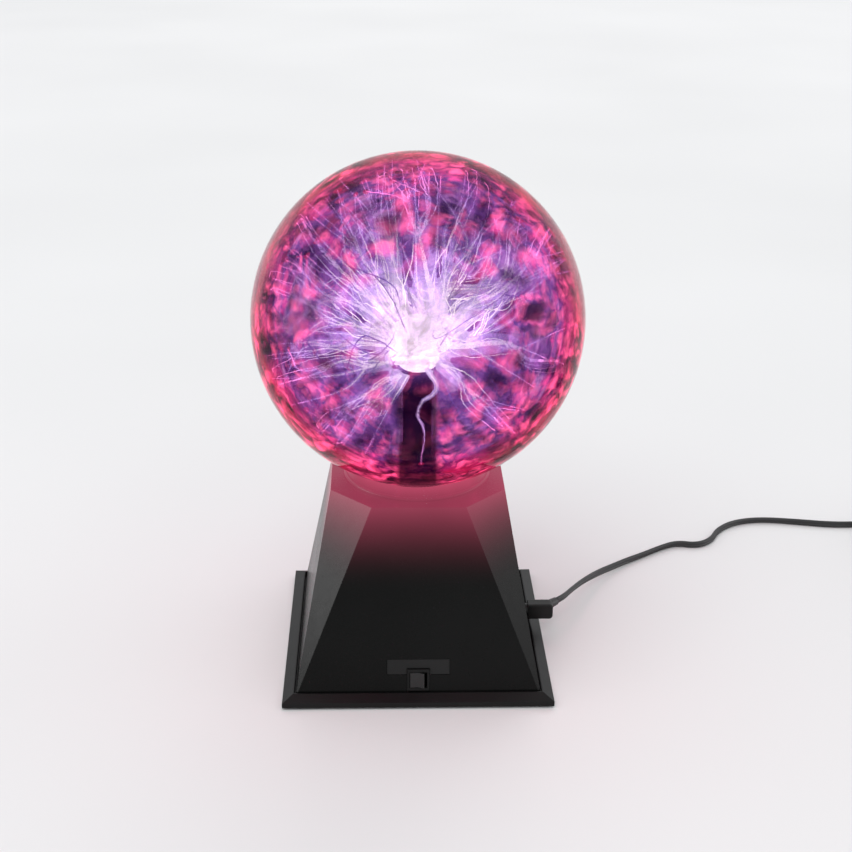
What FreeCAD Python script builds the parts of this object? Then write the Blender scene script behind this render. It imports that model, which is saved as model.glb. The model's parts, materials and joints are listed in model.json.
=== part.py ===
"""Plasma ball on a square, tapering plastic base, with its lead and wall adapter.

Millimetres, +Z up.  The origin is the middle of the footprint, at the bottom of the rubber feet.
-Y is the front, where the power switch is; the supply lead plugs into the right side, +X.
"""

import FreeCAD
import Part
import Sketcher

import math
import os

Vector = FreeCAD.Vector
Rotation = FreeCAD.Rotation
Placement = FreeCAD.Placement

UPRIGHT = Rotation(Vector(1, 0, 0), 90)  # turns a wedge's Y axis up to +Z
ALONG_X = Rotation(Vector(0, 1, 0), 90)  # turns a cylinder's axis to +X
ALONG_Y = Rotation(Vector(1, 0, 0), -90)  # turns a cylinder's axis to +Y
TURN_45 = Rotation(Vector(0, 0, 1), 45)
WHOLE_TURN = 360.0

# The driving dimensions: (name, value, what it is).
DIMENSIONS = [
    ("globe_radius", 101.6, "an 8 inch glass globe"),
    ("globe_centre", 224.6, "height of the globe's centre"),
    ("globe_wall", 2.0, "thickness of the globe's glass"),
    ("neck_radius", 27.0, "outside of the globe's neck"),
    ("neck_foot", 100.5, "height of the neck's lower rim"),
    ("bulb_radius", 18.0, "inner glass bulb round the electrode"),
    ("bulb_drop", 17.0, "bulb's centre below the globe's centre"),
    ("stem_radius", 10.4, "inner glass stem"),
    ("stem_wall", 1.2, "thickness of the stem's glass"),
    ("flare_thickness", 2.0, "glass disc that joins stem and neck"),
    ("foot_height", 1.5, "how far the rubber feet stand out"),
    ("foot_radius", 6.0, ""),
    ("foot_recess", 1.0, "depth of the feet's seats"),
    ("foot_spread", 70.0, "feet from the centre lines"),
    ("plinth_half", 84.1, "half of the base plate's width"),
    ("plinth_side", 3.1, "upright edge of the base plate"),
    ("plinth_bevel", 3.1, "height of the bevelled rim"),
    ("plinth_bevel_run", 6.5, "width of the bevelled rim"),
    ("groove_half", 76.8, "half width inside the rim"),
    ("ledge", 5.0, "height of the floor that the housing stands on"),
    ("housing_half", 75.6, "half width of the housing where it meets the rim"),
    ("housing_top_half", 53.9, "half width across the top's flats"),
    ("housing_top", 124.0, "height of the housing's top"),
    ("facet_foot", 106.1, "corner facets from the axis, at the rim"),
    ("facet_top", 58.3, "corner facets from the axis, at the top"),
    ("wall", 2.6, "thickness of the mouldings"),
    ("top_plate", 3.0, "thickness of the housing's top"),
    ("top_opening", 31.0, "radius of the opening for the neck"),
    ("collar_radius", 46.3, "outside of the collar ring"),
    ("collar_crest_radius", 38.2, "where the collar meets the glass"),
    ("collar_crest", 5.8, "height of the crest over the housing's top"),
    ("screw_radius", 1.4, "self-tapping screws"),
    ("screw_head", 2.9, "radius of their heads"),
    ("screw_head_height", 1.5, ""),
    ("screw_gap", 0.1, "clearance round a screw"),
    ("boss_radius", 4.2, "screw bosses in the housing"),
    ("boss_spread", 56.0, "bosses from the centre lines"),
    ("boss_top", 26.0, ""),
    ("cup_radius", 30.2, "outside of the cup that holds the neck"),
    ("cup_floor", 93.5, ""),
    ("cup_flange", 42.0, "radius of its flange"),
    ("clamp_circle", 38.5, "screws through the flange"),
    ("board_left", -32.0, "circuit board"),
    ("board_right", 70.0, ""),
    ("board_half", 40.0, "half of the board's depth"),
    ("board_bottom", 9.9, ""),
    ("board_thickness", 1.6, ""),
    ("board_inset", 5.0, "board screws from its edges"),
    ("switch_height", 15.1, "middle of the switch on the front face"),
    ("bezel_width", 13.9, ""),
    ("bezel_tall", 14.2, ""),
    ("bezel_thickness", 1.1, ""),
    ("switch_width", 12.0, "body behind the bezel"),
    ("switch_tall", 12.4, ""),
    ("switch_depth", 13.0, ""),
    ("rocker_half", 4.4, "half width of the rocker"),
    ("rocker_long", 9.6, "along its pivot"),
    ("rocker_window", 5.4, "half width of the opening round it"),
    ("pivot_depth", 2.0, "pivot below the housing's face"),
    ("pivot_radius", 0.9, ""),
    ("pivot_gap", 0.05, "running clearance"),
    ("label_half", 19.3, "half width of the blank label"),
    ("label_low", 3.4, "label above the switch's middle"),
    ("label_high", 13.2, ""),
    ("label_recess", 0.9, "depth of its recess"),
    ("label_thickness", 0.5, ""),
    ("jack_offset", 5.0, "power jack behind the middle"),
    ("jack_height", 18.0, ""),
    ("jack_hole", 5.0, "radius of the hole in the side"),
    ("plug_inner", 75.0, "plug's end next to the housing"),
    ("plug_length", 16.8, ""),
    ("plug_depth", 8.0, ""),
    ("plug_tall", 11.0, ""),
    ("plug_nose", 2.2, "round nose in the housing's opening"),
    ("plug_barrel", 2.75, "radius of the plug's sleeve"),
    ("plug_sleeve", 11.3, "length of the plug's sleeve"),
    ("cord_width", 4.8, "twin lead, across both wires"),
    ("lead_radius", 1.6, "high-voltage lead"),
    ("wire_radius", 0.75, "hook-up wires"),
    ("coil_radius", 26.5, "middle of the turns of the spare lead"),
    ("coil_half_width", 5.4, ""),
    ("coil_tall", 15.2, ""),
    ("adapter_width", 50.0, ""),
    ("adapter_length", 64.0, ""),
    ("adapter_thickness", 30.0, ""),
    ("adapter_lid", 8.0, "thickness of the half that holds the blades"),
]

# Where the supply lead leaves its boot at the plug, and the way that the boot points.
BOOT_START = Vector(86.2, 7.6, 18.0)
BOOT_END = Vector(95.1, 15.6, 18.0)

# The lead's free run, from the plug's boot down to the table and away to the right.
CORD_ROUTE = [
    (95.1, 15.6, 18.0),
    (100.8, 20.7, 18.0),
    (107.4, 33.4, 15.8),
    (116.2, 49.0, 12.9),
    (125.2, 63.1, 9.7),
    (134.8, 76.2, 6.7),
    (145.0, 87.4, 4.3),
    (157.5, 99.0, 3.0),
    (171.5, 109.0, 2.6),
    (185.5, 119.2, 2.6),
    (199.0, 126.8, 2.6),
    (214.0, 122.6, 2.6),
    (226.5, 130.6, 2.6),
    (234.5, 147.0, 2.6),
    (250.0, 160.0, 2.6),
    (272.0, 165.0, 2.6),
    (299.0, 160.5, 2.6),
    (327.0, 155.0, 2.6),
    (355.0, 156.4, 2.6),
    (382.0, 158.9, 2.6),
]

# The spare lead is a round coil, and its tail goes on to the wall adapter.
COIL_CENTRE = Vector(382.0, 130.0, 0.0)
TAIL_ROUTE = [
    (410.9, 130.0, 12.4),
    (410.9, 121.0, 12.4),
    (411.3, 110.0, 13.6),
    (411.0, 103.0, 15.0),
    (411.0, 98.0, 15.0),
]
ADAPTER_CENTRE_X = 411.0
ADAPTER_BACK = 82.0  # the end that the lead enters

ROCKER_TILT = 10.0  # degrees each side of level

# The transformer's core stands on its saddle's floor, and its windings above the lower yoke.
SADDLE_FLOOR = 3.0
WINDING_LIFT = 9.3
OUTLET_TALL = 31.0

HEADER_TALL = 7.0  # of the switch wires' header on the board


class Size:
    """A length, with the spreadsheet expression that gives it."""

    def __init__(self, value, text):
        self.value = float(value)
        self.text = text

    def __add__(self, other):
        return joined(self, "+", other)

    def __radd__(self, other):
        return joined(other, "+", self)

    def __sub__(self, other):
        return joined(self, "-", other)

    def __rsub__(self, other):
        return joined(other, "-", self)

    def __mul__(self, other):
        return joined(self, "*", other)

    def __rmul__(self, other):
        return joined(other, "*", self)

    def __truediv__(self, other):
        return joined(self, "/", other)

    def __neg__(self):
        return joined(0.0, "-", self)


def as_size(thing):
    return thing if isinstance(thing, Size) else Size(thing, f"{float(thing):.6f}")


def joined(left, sign, right):
    left = as_size(left)
    right = as_size(right)
    values = {
        "+": left.value + right.value,
        "-": left.value - right.value,
        "*": left.value * right.value,
        "/": left.value / right.value if right.value else 0.0,
    }
    return Size(values[sign], f"({left.text} {sign} {right.text})")


class Dimensions:
    """The spreadsheet's cells, as attributes."""


doc = FreeCAD.newDocument("PlasmaBall")
d = Dimensions()
subparts = []


def fill_sheet():
    sheet = doc.addObject("Spreadsheet::Sheet", "Sheet")
    sheet.Label = "dimensions"
    for row, (name, value, note) in enumerate(DIMENSIONS, start=1):
        sheet.set(f"A{row}", name)
        sheet.set(f"B{row}", str(value))
        sheet.setAlias(f"B{row}", name)
        sheet.set(f"C{row}", note)
        setattr(d, name, Size(value, f"Sheet.{name}"))
    doc.recompute()


# ---------------------------------------------------------------- small tools


def bind(thing, **properties):
    """Sets each property's value, and binds it to its expression."""
    for name, size in properties.items():
        size = as_size(size)
        setattr(thing, name, size.value)
        if "Sheet." in size.text:
            thing.setExpression(name, size.text)


def place(thing, position, rotation=None):
    """Puts thing at position, three sizes, turned by rotation."""
    sizes = [as_size(p) for p in position]
    thing.Placement = Placement(Vector(*[s.value for s in sizes]), rotation or Rotation())
    for axis, size in zip("xyz", sizes):
        if "Sheet." in size.text:
            thing.setExpression(f".Placement.Base.{axis}", size.text)
    return thing


def box(name, low, high, rotation=None):
    """A box between two corners."""
    made = doc.addObject("Part::Box", name)
    length, width, height = (as_size(b) - as_size(a) for a, b in zip(low, high))
    bind(made, Length=length, Width=width, Height=height)
    return place(made, low, rotation)


def cylinder(name, radius, height, foot, rotation=None):
    made = doc.addObject("Part::Cylinder", name)
    bind(made, Radius=radius, Height=height)
    return place(made, foot, rotation)


def cone(name, foot_radius, top_radius, height, foot, rotation=None):
    made = doc.addObject("Part::Cone", name)
    bind(made, Radius1=foot_radius, Radius2=top_radius, Height=height)
    return place(made, foot, rotation)


def frustum(name, foot_half, top_half, foot, top, rotation=None):
    """A square column that tapers from foot to top, two heights."""
    made = doc.addObject("Part::Wedge", name)
    bind(made, Xmin=-foot_half, Xmax=foot_half, Zmin=-foot_half, Zmax=foot_half)
    bind(made, X2min=-top_half, X2max=top_half, Z2min=-top_half, Z2max=top_half)
    bind(made, Ymin=0.0, Ymax=top - foot)
    turned = rotation.multiply(UPRIGHT) if rotation else UPRIGHT
    return place(made, (0, 0, foot), turned)


def fuse(name, things):
    made = doc.addObject("Part::MultiFuse", name)
    made.Shapes = things
    made.Refine = True
    return made


def cut(name, base, tools):
    tool = tools[0] if len(tools) == 1 else fuse(name + "_cutters", tools)
    made = doc.addObject("Part::Cut", name)
    made.Base = base
    made.Tool = tool
    made.Refine = True
    return made


def common(name, one, other):
    made = doc.addObject("Part::Common", name)
    made.Base = one
    made.Tool = other
    made.Refine = True
    return made


def group(name, things):
    """Separate solids in one node."""
    made = doc.addObject("Part::Compound", name)
    made.Links = things
    return made


def rounded(name, base, radius, chosen):
    """Fillets the edges that chosen(edge) picks."""
    doc.recompute()
    edges = [n for n, edge in enumerate(base.Shape.Edges, start=1) if chosen(edge)]
    made = doc.addObject("Part::Fillet", name)
    made.Base = base
    made.Edges = [(n, as_size(radius).value, as_size(radius).value) for n in edges]
    return made


def runs_along(edge, axis):
    """Whether a straight edge lies along axis, 0 to 2 for X to Z."""
    if len(edge.Vertexes) != 2:
        return False
    step = edge.Vertexes[1].Point - edge.Vertexes[0].Point
    return abs(step[axis]) > 0.999 * step.Length


def subpart(label, made):
    """Names a finished sub-part; the label is its node."""
    made.Label = label
    subparts.append(made)
    return made


# ---------------------------------------------------------------- sketched bodies


def new_body(name):
    return doc.addObject("PartDesign::Body", name + "_body")


def new_sketch(body, name, role, lift=0.0):
    sketch = body.newObject("Sketcher::SketchObject", name)
    plane = next(f for f in body.Origin.OriginFeatures if f.Role == role)
    sketch.AttachmentSupport = [(plane, "")]
    sketch.MapMode = "FlatFace"
    lift = as_size(lift)
    sketch.AttachmentOffset = Placement(Vector(0, 0, lift.value), Rotation())
    if "Sheet." in lift.text:
        sketch.setExpression(".AttachmentOffset.Base.z", lift.text)
    return sketch


def fix_point(sketch, geometry, end, point):
    """Ties one end of a line, or a centre, to a point of two sizes."""
    for kind, size in zip(("DistanceX", "DistanceY"), point):
        size = as_size(size)
        rule = sketch.addConstraint(Sketcher.Constraint(kind, -1, 1, geometry, end, size.value))
        if "Sheet." in size.text:
            name = f"at_{rule}"
            sketch.renameConstraint(rule, name)
            sketch.setExpression(f"Constraints.{name}", size.text)


def outline(sketch, points):
    """A closed outline of straight lines through points."""
    flat = [Vector(as_size(a).value, as_size(b).value, 0) for a, b in points]
    count = len(points)
    lines = [
        sketch.addGeometry(Part.LineSegment(flat[n], flat[(n + 1) % count]), False)
        for n in range(count)
    ]
    for n, line in enumerate(lines):
        after = lines[(n + 1) % count]
        sketch.addConstraint(Sketcher.Constraint("Coincident", line, 2, after, 1))
        fix_point(sketch, line, 1, points[n])


def turned(name, points):
    """A body of revolution about Z, from an outline of (radius, height)."""
    body = new_body(name)
    sketch = new_sketch(body, name + "_profile", "XZ_Plane")
    outline(sketch, points)
    made = body.newObject("PartDesign::Revolution", name + "_turned")
    made.Profile = sketch
    made.ReferenceAxis = (sketch, ["V_Axis"])
    made.Angle = WHOLE_TURN
    body.Tip = made
    return body


def padded(name, points, height, foot=0.0, role="XY_Plane"):
    """A body padded from an outline."""
    body = new_body(name)
    sketch = new_sketch(body, name + "_outline", role, foot)
    outline(sketch, points)
    made = body.newObject("PartDesign::Pad", name + "_pad")
    made.Profile = sketch
    bind(made, Length=height)
    body.Tip = made
    return body


# ---------------------------------------------------------------- paths


def arc_radius(before, corner, after):
    """The largest arc that a route's corner has room for."""
    first = corner - before
    second = after - corner
    turn = first.getAngle(second)
    return 0.45 * min(first.Length, second.Length) / math.tan(turn / 2)


def path_wire(points):
    """Straight runs joined by tangent arcs, and the radii of the arcs."""
    points = [Vector(*p) for p in points]
    edges = []
    radii = []
    start = points[0]
    for before, corner, after in zip(points, points[1:], points[2:]):
        reach = 0.45 * min((corner - before).Length, (after - corner).Length)
        inward = (before - corner).normalize()
        onward = (after - corner).normalize()
        arc_start = corner + inward * reach
        arc_end = corner + onward * reach
        radius = arc_radius(before, corner, after)
        middle_line = (inward + onward).normalize()
        half = (math.pi - inward.getAngle(onward)) / 2
        middle = corner + middle_line * (radius / math.cos(half) - radius)
        edges.append(Part.LineSegment(start, arc_start).toShape())
        edges.append(Part.Arc(arc_start, middle, arc_end).toShape())
        radii.append(radius)
        start = arc_end
    edges.append(Part.LineSegment(start, points[-1]).toShape())
    return Part.Wire(edges), radii


def tube(name, points, radius):
    """A round lead along a route."""
    wire, radii = path_wire(points)
    start = Vector(*points[0])
    heading = Vector(*points[1]) - start
    ring = Part.Wire(Part.Circle(start, heading, radius).toShape())
    solid = wire.makePipeShell([ring], True, False)
    if solid.Volume < 0:
        solid.reverse()
    share = solid.Volume / (math.pi * radius**2 * wire.Length)
    print(f"{name}: length {wire.Length:.1f}, volume share {share:.4f}")
    print("  radii", [round(r, 1) for r in radii])
    made = doc.addObject("Part::Feature", name)
    made.Shape = solid
    return made


# ---------------------------------------------------------------- the glass


def sphere_height(radius):
    """Height of the globe's lower surface at a radius from its axis."""
    globe = d.globe_radius
    value = d.globe_centre.value - math.sqrt(globe.value**2 - radius.value**2)
    root = f"sqrt({globe.text}^2 - {radius.text}^2)"
    return Size(value, f"({d.globe_centre.text} - {root})")


def sphere(name, radius, centre):
    made = doc.addObject("Part::Sphere", name)
    bind(made, Radius=radius)
    return place(made, (0, 0, centre))


def globe_glass():
    centre = d.globe_centre
    neck_top = sphere_height(d.neck_radius) + d.globe_wall
    outside = fuse(
        "globe_outside",
        [
            sphere("globe_ball", d.globe_radius, centre),
            cylinder("neck_outside", d.neck_radius, neck_top - d.neck_foot, (0, 0, d.neck_foot)),
        ],
    )
    bore = d.neck_radius - d.globe_wall
    inside = fuse(
        "globe_inside",
        [
            sphere("globe_hollow", d.globe_radius - d.globe_wall, centre),
            cylinder("neck_bore", bore, neck_top - d.neck_foot + 3, (0, 0, d.neck_foot - 1)),
        ],
    )
    subpart("globe_glass", cut("globe", outside, [inside]))


def stem_glass():
    """The re-entrant stem: a flared foot, a tube and the bulb round the electrode."""
    bulb = d.globe_centre - d.bulb_drop
    disc_low = d.neck_foot - d.flare_thickness
    tube_inside = d.stem_radius - d.stem_wall
    flare_high = d.neck_foot + 12
    outside = fuse(
        "stem_outside",
        [
            sphere("bulb_ball", d.bulb_radius, bulb),
            cylinder("stem_tube", d.stem_radius, bulb - disc_low, (0, 0, disc_low)),
            cone("stem_flare", 17.0, d.stem_radius, flare_high - d.neck_foot, (0, 0, d.neck_foot)),
            cylinder("stem_disc", d.neck_radius, d.flare_thickness, (0, 0, disc_low)),
        ],
    )
    inside = fuse(
        "stem_inside",
        [
            sphere("bulb_hollow", d.bulb_radius - d.stem_wall, bulb),
            cylinder("stem_bore", tube_inside, bulb - disc_low + 1, (0, 0, disc_low - 1)),
        ],
    )
    subpart("stem_glass", cut("stem", outside, [inside]))


def exhaust_tip():
    """The sealed glass nipple that the globe was filled through."""
    top = d.neck_foot - d.flare_thickness
    profile = [(0, top - 9), (1.2, top - 8), (2.6, top - 5), (2.6, top), (0, top)]
    tip = turned("exhaust_tip", profile)
    tip.Placement = Placement(Vector(17.5, 0, 0), Rotation())
    subpart("exhaust_tip", tip)


def electrode():
    """Steel wool in the bulb, the lead up to it, and the dark sleeve that hides the lead."""
    bulb = d.globe_centre - d.bulb_drop
    disc_low = d.neck_foot - d.flare_thickness
    wool_radius = d.bulb_radius - d.stem_wall - 0.3
    lead_top = bulb - 6
    wool = cut(
        "wool",
        sphere("wool_ball", wool_radius, bulb),
        [
            cylinder("wool_socket", d.lead_radius + 0.1, wool_radius, (0, 0, lead_top - wool_radius)),
            box("wool_flat", (-20, -20, bulb - 20), (20, 20, bulb - 13.2)),
        ],
    )
    subpart("electrode_wool", wool)
    boot_top = disc_low + 6
    foot = disc_low - 4
    lead = cylinder("lead_up", d.lead_radius, lead_top - 0.2 - foot, (0, 0, foot))
    subpart("electrode_lead", lead)
    sleeve_outside = d.stem_radius - d.stem_wall - 0.2
    sleeve_top = bulb - 15.4
    sleeve = turned(
        "sleeve",
        [
            (sleeve_outside - 1.0, boot_top + 0.2),
            (sleeve_outside, boot_top + 0.2),
            (sleeve_outside, sleeve_top),
            (sleeve_outside - 1.0, sleeve_top),
        ],
    )
    subpart("stem_sleeve", sleeve)
    inner = d.lead_radius + 0.1
    bore = d.stem_radius - d.stem_wall - 0.2
    boot = turned(
        "boot",
        [
            (inner, foot + 1),
            (bore + 2, foot + 1),
            (bore + 2, disc_low - 0.1),
            (bore, disc_low - 0.1),
            (bore, boot_top),
            (inner, boot_top),
        ],
    )
    subpart("stem_boot", boot)


def neck_cup():
    """The cup under the housing's top that grips the globe's neck, its pad and its screws."""
    inner = d.neck_radius + 0.4
    under_top = d.housing_top - d.top_plate
    flange_low = under_top - 3
    cup = turned(
        "cup",
        [
            (22.0, d.cup_floor),
            (d.cup_radius, d.cup_floor),
            (d.cup_radius, flange_low),
            (d.cup_flange, flange_low),
            (d.cup_flange, under_top),
            (inner, under_top),
            (inner, d.cup_floor + 2.5),
            (22.0, d.cup_floor + 2.5),
        ],
    )
    holes = around("cup_hole", 3, d.clamp_circle, d.screw_radius + d.screw_gap, flange_low - 1, 5)
    subpart("neck_cup", cut("drilled_cup", cup, holes))
    pad_top = d.neck_foot - d.flare_thickness
    pad_low = d.cup_floor + 2.5
    pad = turned(
        "pad", [(22.2, pad_low), (inner - 0.3, pad_low), (inner - 0.3, pad_top), (22.2, pad_top)]
    )
    subpart("neck_pad", pad)
    screws = [
        screw(f"collar_screw_{n}", spot, flange_low, 10.0, 1)
        for n, spot in enumerate(on_circle(3, d.clamp_circle))
    ]
    subpart("collar_screws", group("collar_screw_set", screws))


def collar():
    top = d.housing_top
    crest = d.collar_crest_radius
    ring = turned(
        "collar",
        [
            (d.top_opening + 0.5, top),
            (d.collar_radius, top),
            (d.collar_radius, top + 1.3),
            (d.collar_radius - 0.9, top + 2.1),
            (d.collar_radius - 2.0, top + 2.1),
            (crest, top + d.collar_crest),
            (crest - 1.2, top + d.collar_crest - 0.4),
            (crest - 1.2, top + 2.2),
            (d.top_opening + 0.5, top + 2.2),
        ],
    )
    holes = around("collar_hole", 3, d.clamp_circle, d.screw_radius + 0.02, top - 1, 5.2)
    subpart("collar_ring", cut("drilled_collar", ring, holes))
    low = top + 2.2
    inside = d.top_opening + 1
    outside = crest - 1.5
    gasket = turned(
        "gasket",
        [
            (inside, low),
            (outside, low),
            (outside, sphere_height(outside) - 0.15),
            (inside, sphere_height(inside) - 0.15),
        ],
    )
    subpart("globe_gasket", gasket)


# ---------------------------------------------------------------- screws


def on_circle(count, radius):
    """Evenly spaced spots on a circle, as numbers."""
    radius = as_size(radius).value
    turns = [2 * math.pi * n / count + math.pi / 6 for n in range(count)]
    return [(radius * math.cos(t), radius * math.sin(t)) for t in turns]


def at_corners(spread):
    return [(x * spread, y * spread) for x in (-1, 1) for y in (-1, 1)]


def around(name, count, circle, radius, foot, height):
    return [
        cylinder(f"{name}_{n}", radius, height, (x, y, foot))
        for n, (x, y) in enumerate(on_circle(count, circle))
    ]


def screw(name, spot, under_head, length, way):
    """A pan-head screw; its shank goes up from under_head when way is 1, down when -1."""
    x, y = spot
    head_foot = under_head - d.screw_head_height if way > 0 else as_size(under_head)
    shank_foot = as_size(under_head) if way > 0 else under_head - length
    head = cylinder(name + "_head", d.screw_head, d.screw_head_height, (x, y, head_foot))
    shank = cylinder(name + "_shank", d.screw_radius, length, (x, y, shank_foot))
    slot_depth = 0.7
    slot_low = head_foot if way > 0 else head_foot + d.screw_head_height - slot_depth
    x = as_size(x)
    y = as_size(y)
    slots = [
        box(
            f"{name}_slot_{n}",
            (x - long, y - wide, slot_low),
            (x + long, y + wide, slot_low + slot_depth),
        )
        for n, (long, wide) in enumerate([(1.7, 0.35), (0.35, 1.7)])
    ]
    return cut(name, fuse(name + "_blank", [head, shank]), slots)


# ---------------------------------------------------------------- the housing


def housing_half_at(height):
    """Half width of the housing's flat faces at a height."""
    rise = d.housing_top - rim_top()
    slope = (d.housing_half - d.housing_top_half) / rise
    return d.housing_half - slope * (height - rim_top())


def facet_at(height):
    """Distance of the corner facets from the axis at a height."""
    rise = d.housing_top - rim_top()
    slope = (d.facet_foot - d.facet_top) / rise
    return d.facet_foot - slope * (height - rim_top())


def rim_top():
    return d.foot_height + d.plinth_side + d.plinth_bevel


def tapered_column(name, inset, foot, top):
    """The housing's outline with its sides moved in by inset, between two heights."""
    square = frustum(
        name + "_square", housing_half_at(foot) - inset, housing_half_at(top) - inset, foot, top
    )
    facets = frustum(
        name + "_facets", facet_at(foot) - inset, facet_at(top) - inset, foot, top, TURN_45
    )
    return common(name, square, facets)


def face_tilt():
    """How far the faces lean back, in degrees."""
    run = (d.housing_half - d.housing_top_half).value
    return math.degrees(math.atan2(run, (d.housing_top - rim_top()).value))


def on_front_face(thing):
    """Places a piece drawn with X to the right, Y up the face and Z out of it."""
    position = (0, -housing_half_at(d.switch_height), d.switch_height)
    return place(thing, position, Rotation(Vector(1, 0, 0), 90 - face_tilt()))


def corner_bosses():
    """Screw posts, each held to the two walls of its corner by ribs."""
    posts = []
    for n, (x, y) in enumerate(at_corners(d.boss_spread)):
        posts.append(cylinder(f"boss_{n}", d.boss_radius, d.boss_top - d.ledge, (x, y, d.ledge)))
        side_x = 1 if x.value > 0 else -1
        side_y = 1 if y.value > 0 else -1
        reach = d.housing_half - d.boss_spread
        low, high = sorted([x, x + side_x * reach], key=lambda s: s.value)
        posts.append(box(f"rib_x_{n}", (low, y - 1, d.ledge), (high, y + 1, d.boss_top - 3)))
        low, high = sorted([y, y + side_y * reach], key=lambda s: s.value)
        posts.append(box(f"rib_y_{n}", (x - 1, low, d.ledge), (x + 1, high, d.boss_top - 3)))
    return posts


def housing_shell():
    outer = tapered_column("housing_outer", 0.0, d.ledge, d.housing_top)
    inner_top = d.housing_top - d.top_plate
    hollow = tapered_column("housing_hollow", d.wall, d.ledge - 1, inner_top)
    skin = cut("housing_skin", outer, [hollow])
    limit = tapered_column("boss_limit", d.wall / 2, d.ledge, inner_top)
    bosses = common("housing_bosses", fuse("boss_set", corner_bosses()), limit)
    blank = fuse("housing_blank", [skin, bosses])
    window = box(
        "switch_window",
        (-d.switch_width / 2 - 0.2, -d.switch_tall / 2 - 0.2, -8),
        (d.switch_width / 2 + 0.2, d.switch_tall / 2 + 0.2, 4),
    )
    recess = box(
        "label_seat",
        (-d.label_half - 0.2, d.label_low - 0.2, -d.label_recess),
        (d.label_half + 0.2, d.label_high + 0.2, 4),
    )
    tools = [
        on_front_face(fuse("front_cutouts", [window, recess])),
        cylinder("neck_opening", d.top_opening, 9, (0, 0, inner_top - 3)),
        cylinder("jack_opening", d.jack_hole, 30, (60, d.jack_offset, d.jack_height), ALONG_X),
    ]
    tools += around(
        "clamp_hole", 3, d.clamp_circle, d.screw_radius + d.screw_gap, inner_top - 1, 6
    )
    tools += [
        cylinder(f"boss_hole_{n}", d.screw_radius + 0.02, 19, (x, y, d.ledge - 1))
        for n, (x, y) in enumerate(at_corners(d.boss_spread))
    ]
    subpart("housing_shell", cut("housing", blank, tools))


def label_plate():
    """A blank plate over the switch, notched round its bezel."""
    plate = box(
        "plate_blank",
        (-d.label_half, d.label_low, -d.label_recess),
        (d.label_half, d.label_high, d.label_thickness - d.label_recess),
    )
    notch = box(
        "plate_notch",
        (-d.bezel_width / 2 - 0.3, 0, -2),
        (d.bezel_width / 2 + 0.3, d.bezel_tall / 2 + 0.3, 2),
    )
    subpart("label_plate", on_front_face(cut("label", plate, [notch])))


def board_spots():
    """Centres of the board's four screws."""
    inset = d.board_inset
    return [
        (x, y)
        for x in (d.board_left + inset, d.board_right - 18)
        for y in (-d.board_half + inset, d.board_half - inset)
    ]


def base_plate():
    side_top = d.foot_height + d.plinth_side
    rim_half = d.plinth_half - d.plinth_bevel_run
    slab = box(
        "plinth_slab",
        (-d.plinth_half, -d.plinth_half, d.foot_height),
        (d.plinth_half, d.plinth_half, side_top),
    )
    bevel = frustum("plinth_bevel_band", d.plinth_half, rim_half, side_top, rim_top())
    pocket = box(
        "plinth_pocket",
        (-d.groove_half, -d.groove_half, d.ledge),
        (d.groove_half, d.groove_half, rim_top() + 1),
    )
    tray = cut("plinth_tray", fuse("plinth_blank", [slab, bevel]), [pocket])
    posts = [
        cylinder(f"post_{n}", 3.0, d.board_bottom - d.ledge + 0.5, (x, y, d.ledge - 0.5))
        for n, (x, y) in enumerate(board_spots())
    ]
    tools = []
    for n, (x, y) in enumerate(board_spots()):
        tools.append(cylinder(f"post_hole_{n}", d.screw_radius + 0.02, 8, (x, y, 3.2)))
    for n, (x, y) in enumerate(at_corners(d.boss_spread)):
        tools.append(cylinder(f"base_hole_{n}", d.screw_radius + d.screw_gap, 6, (x, y, 0)))
        head_room = d.screw_head_height + 0.2
        tools.append(
            cylinder(f"base_sink_{n}", d.screw_head + 0.3, head_room + 1, (x, y, d.foot_height - 1))
        )
    for n, (x, y) in enumerate(at_corners(d.foot_spread)):
        tools.append(
            cylinder(f"foot_seat_{n}", d.foot_radius + 0.1, d.foot_recess + 1, (x, y, d.foot_height - 1))
        )
    for n in range(5):
        x = -64 + 6 * n
        tools.append(box(f"vent_{n}", (x, -22, 0), (x + 2.6, 22, 8)))
    subpart("base_plate", cut("base", fuse("base_blank", [tray] + posts), tools))


def rubber_feet():
    top = d.foot_height + d.foot_recess
    feet = []
    for n, (x, y) in enumerate(at_corners(d.foot_spread)):
        foot = turned(
            f"foot_{n}",
            [(0, 0), (d.foot_radius - 0.8, 0), (d.foot_radius, 0.8), (d.foot_radius, top), (0, top)],
        )
        feet.append(place(foot, (x, y, 0)))
    subpart("rubber_feet", group("foot_set", feet))


def housing_screws():
    under_head = d.foot_height + d.screw_head_height + 0.2
    screws = [
        screw(f"housing_screw_{n}", spot, under_head, 16.0, 1)
        for n, spot in enumerate(at_corners(d.boss_spread))
    ]
    subpart("housing_screws", group("housing_screw_set", screws))


# ---------------------------------------------------------------- the switch


def rocker_frame():
    """The rocker's outline in the plane across its pivot."""
    pivot = -d.pivot_depth
    half = d.rocker_half
    return [
        (-3.0, pivot - 3.0),
        (3.0, pivot - 3.0),
        (half, pivot - 0.4),
        (half, pivot + 4.2),
        (0, pivot + 2.9),
        (-half, pivot + 4.2),
        (-half, pivot - 0.4),
    ]


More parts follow.
